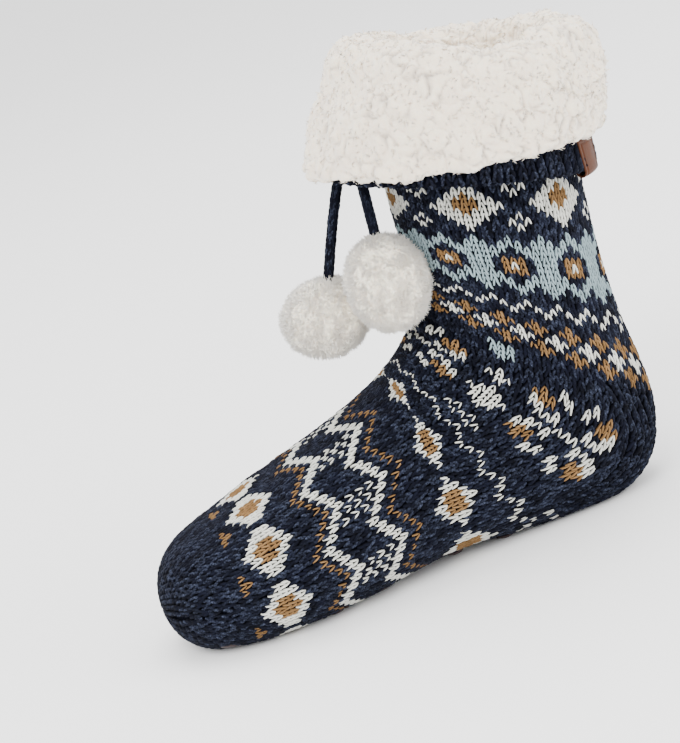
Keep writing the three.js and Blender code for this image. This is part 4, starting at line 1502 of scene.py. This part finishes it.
def make_grips(finish):
    """One domed button for each grip node, where it sits and as it is turned."""
    top = GRIP_HEIGHT + GRIP_SINK
    dome = [(r * GRIP_RADIUS * MM, h * GRIP_HEIGHT * MM) for r, h in GRIP_PROFILE]
    dome += [(GRIP_RADIUS * MM, top * MM), (0, top * MM)]
    full_turn = {"cent": (0, 0, 0), "axis": (0, 0, 1), "angle": 2 * math.pi, "use_merge": True}
    bm = bmesh.new()
    for name in grip_names():
        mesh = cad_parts[name].data
        places = np.array([vertex.co for vertex in mesh.vertices])
        centre = places.mean(axis=0)
        axis = np.linalg.eigh(np.cov((places - centre).T))[1][:, 0]
        axis = axis if axis[2] > 0 else -axis
        low = ((places - centre) @ axis).min()
        turn = Vector((0, 0, 1)).rotation_difference(Vector(axis)).to_matrix().to_4x4()
        seat = Matrix.Translation(Vector(centre + axis * low)) @ turn
        verts = [bm.verts.new((r, 0, h)) for r, h in dome]
        edges = [bm.edges.new(pair) for pair in zip(verts, verts[1:])]
        bmesh.ops.spin(bm, geom=verts + edges, steps=GRIP_STEPS, **full_turn)
        made = [vert for vert in bm.verts if not vert.tag]
        bmesh.ops.transform(bm, matrix=seat, verts=made)
        for vert in made:
            vert.tag = True
    bmesh.ops.remove_doubles(bm, verts=bm.verts, dist=1e-6)
    bmesh.ops.recalc_face_normals(bm, faces=bm.faces)
    made = piece("grip_buttons", smooth_mesh("grip_buttons", bm), finish)
    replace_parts(made, *grip_names())


class SOCK_OT_stage(bpy.types.Operator):
    """Sets up the camera, the floor and soft studio light."""

    bl_idname = "sock.stage"
    bl_label = "Stage"

    def execute(self, context):
        stage = context.scene.sock_stage
        add_camera(context.scene, stage)
        add_floor()
        add_lights(context.scene, stage)
        return {"FINISHED"}


AIM = (-87.0, 0.0, 100.0)  # what the camera looks at
FLOOR_REACH = 4.0  # metres each way
FLOOR_GAP = 0.05  # below the lowest grips


def add_camera(scene, stage):
    """A long lens at the photo's angle to the leg, rolled as the leg leans there."""
    az, el = stage.azimuth, stage.elevation
    back = Vector((math.sin(az) * math.cos(el), -math.cos(az) * math.cos(el), math.sin(el)))
    right = Vector((math.cos(az), math.sin(az), 0))
    up = back.cross(right)
    turned_up = math.cos(stage.roll) * up + math.sin(stage.roll) * right
    turned_right = math.cos(stage.roll) * right - math.sin(stage.roll) * up
    data = bpy.data.cameras.new("camera")
    data.sensor_fit = "VERTICAL"
    data.angle = stage.angle_of_view
    data.clip_end = 20
    camera = bpy.data.objects.new("camera", data)
    basis = Matrix((turned_right, turned_up, back)).transposed().to_4x4()
    camera.matrix_world = Matrix.Translation(Vector(AIM) * MM + back * stage.distance) @ basis
    scene.collection.objects.link(camera)
    scene.camera = camera


def add_floor():
    """A plain pale floor."""
    bm = bmesh.new()
    below = Matrix.Translation((0, 0, -FLOOR_GAP * MM))
    bmesh.ops.create_grid(bm, x_segments=1, y_segments=1, size=FLOOR_REACH, matrix=below)
    mesh = bpy.data.meshes.new("floor")
    bm.to_mesh(mesh)
    bm.free()
    floor = bpy.data.objects.new("floor", mesh)
    bpy.context.scene.collection.objects.link(floor)
    finish = Finish("floor", 0.9)
    finish.colour(finish.blend(finish.noise(400, 2.0), (0.93, 0.93, 0.93, 1), (0.96, 0.96, 0.96, 1)))
    mesh.materials.append(finish.material)


SURROUND = 1.9  # strength of the pale surround
LIGHTS_AIM = Vector((-0.05, 0, 0.1))

# Lights: place in metres, size in metres, and power as a share of the key's.
LIGHTS = (
    ("key", (-0.9, -1.3, 1.5), 1.2, 1.0),
    ("fill", (1.3, -1.0, 0.9), 1.4, 0.55),
    ("top", (0.1, 0.5, 1.8), 1.4, 0.6),
)


def add_lights(scene, stage):
    """Large soft lights and a pale surround."""
    for name, place, size, share in LIGHTS:
        data = bpy.data.lights.new(name, "AREA")
        data.size = size
        data.energy = stage.key * share
        light = bpy.data.objects.new(name, data)
        turn = (Vector(place) - LIGHTS_AIM).to_track_quat("Z", "Y")
        light.matrix_world = Matrix.Translation(Vector(place)) @ turn.to_matrix().to_4x4()
        scene.collection.objects.link(light)
    world = bpy.data.worlds.new("surround")
    world.use_nodes = True
    background = world.node_tree.nodes["Background"]
    background.inputs["Color"].default_value = (1, 1, 1, 1)
    background.inputs["Strength"].default_value = SURROUND
    scene.world = world


OPERATORS = (
    SOCK_OT_stage,
    SOCK_OT_cords,
    SOCK_OT_knit,
    SOCK_OT_cuff,
    SOCK_OT_pompoms,
    SOCK_OT_tab,
    SOCK_OT_grips,
)
SETTINGS = {
    "sock_knit": KnitSettings,
    "sock_cuff": CuffSettings,
    "sock_trim": TrimSettings,
    "sock_stage": StageSettings,
}


class SOCK_PT_panel(bpy.types.Panel):
    """Lists the steps that dress the sock."""

    bl_idname = "SOCK_PT_panel"
    bl_label = "Slipper Sock"
    bl_space_type = "VIEW_3D"
    bl_region_type = "UI"
    bl_category = "Slipper Sock"

    def draw(self, context):
        for operator in OPERATORS:
            self.layout.operator(operator.bl_idname)
        for name, group in SETTINGS.items():
            box = self.layout.box()
            for field in group.__annotations__:
                box.prop(getattr(context.scene, name), field)


def register():
    """Adds the settings, the steps and the panel."""
    for group in SETTINGS.values():
        bpy.utils.register_class(group)
    for name, group in SETTINGS.items():
        setattr(bpy.types.Scene, name, PointerProperty(type=group))
    for operator in OPERATORS:
        bpy.utils.register_class(operator)
    bpy.utils.register_class(SOCK_PT_panel)


def unregister():
    """Takes them away again."""
    bpy.utils.unregister_class(SOCK_PT_panel)
    for operator in reversed(OPERATORS):
        bpy.utils.unregister_class(operator)
    for name, group in SETTINGS.items():
        delattr(bpy.types.Scene, name)
        bpy.utils.unregister_class(group)


def main():
    """Dresses the sock."""
    register()
    for step in ("stage", "cords", "knit", "cuff", "pompoms", "tab", "grips"):
        getattr(bpy.ops.sock, step)()


if __name__ == "__main__":
    main()
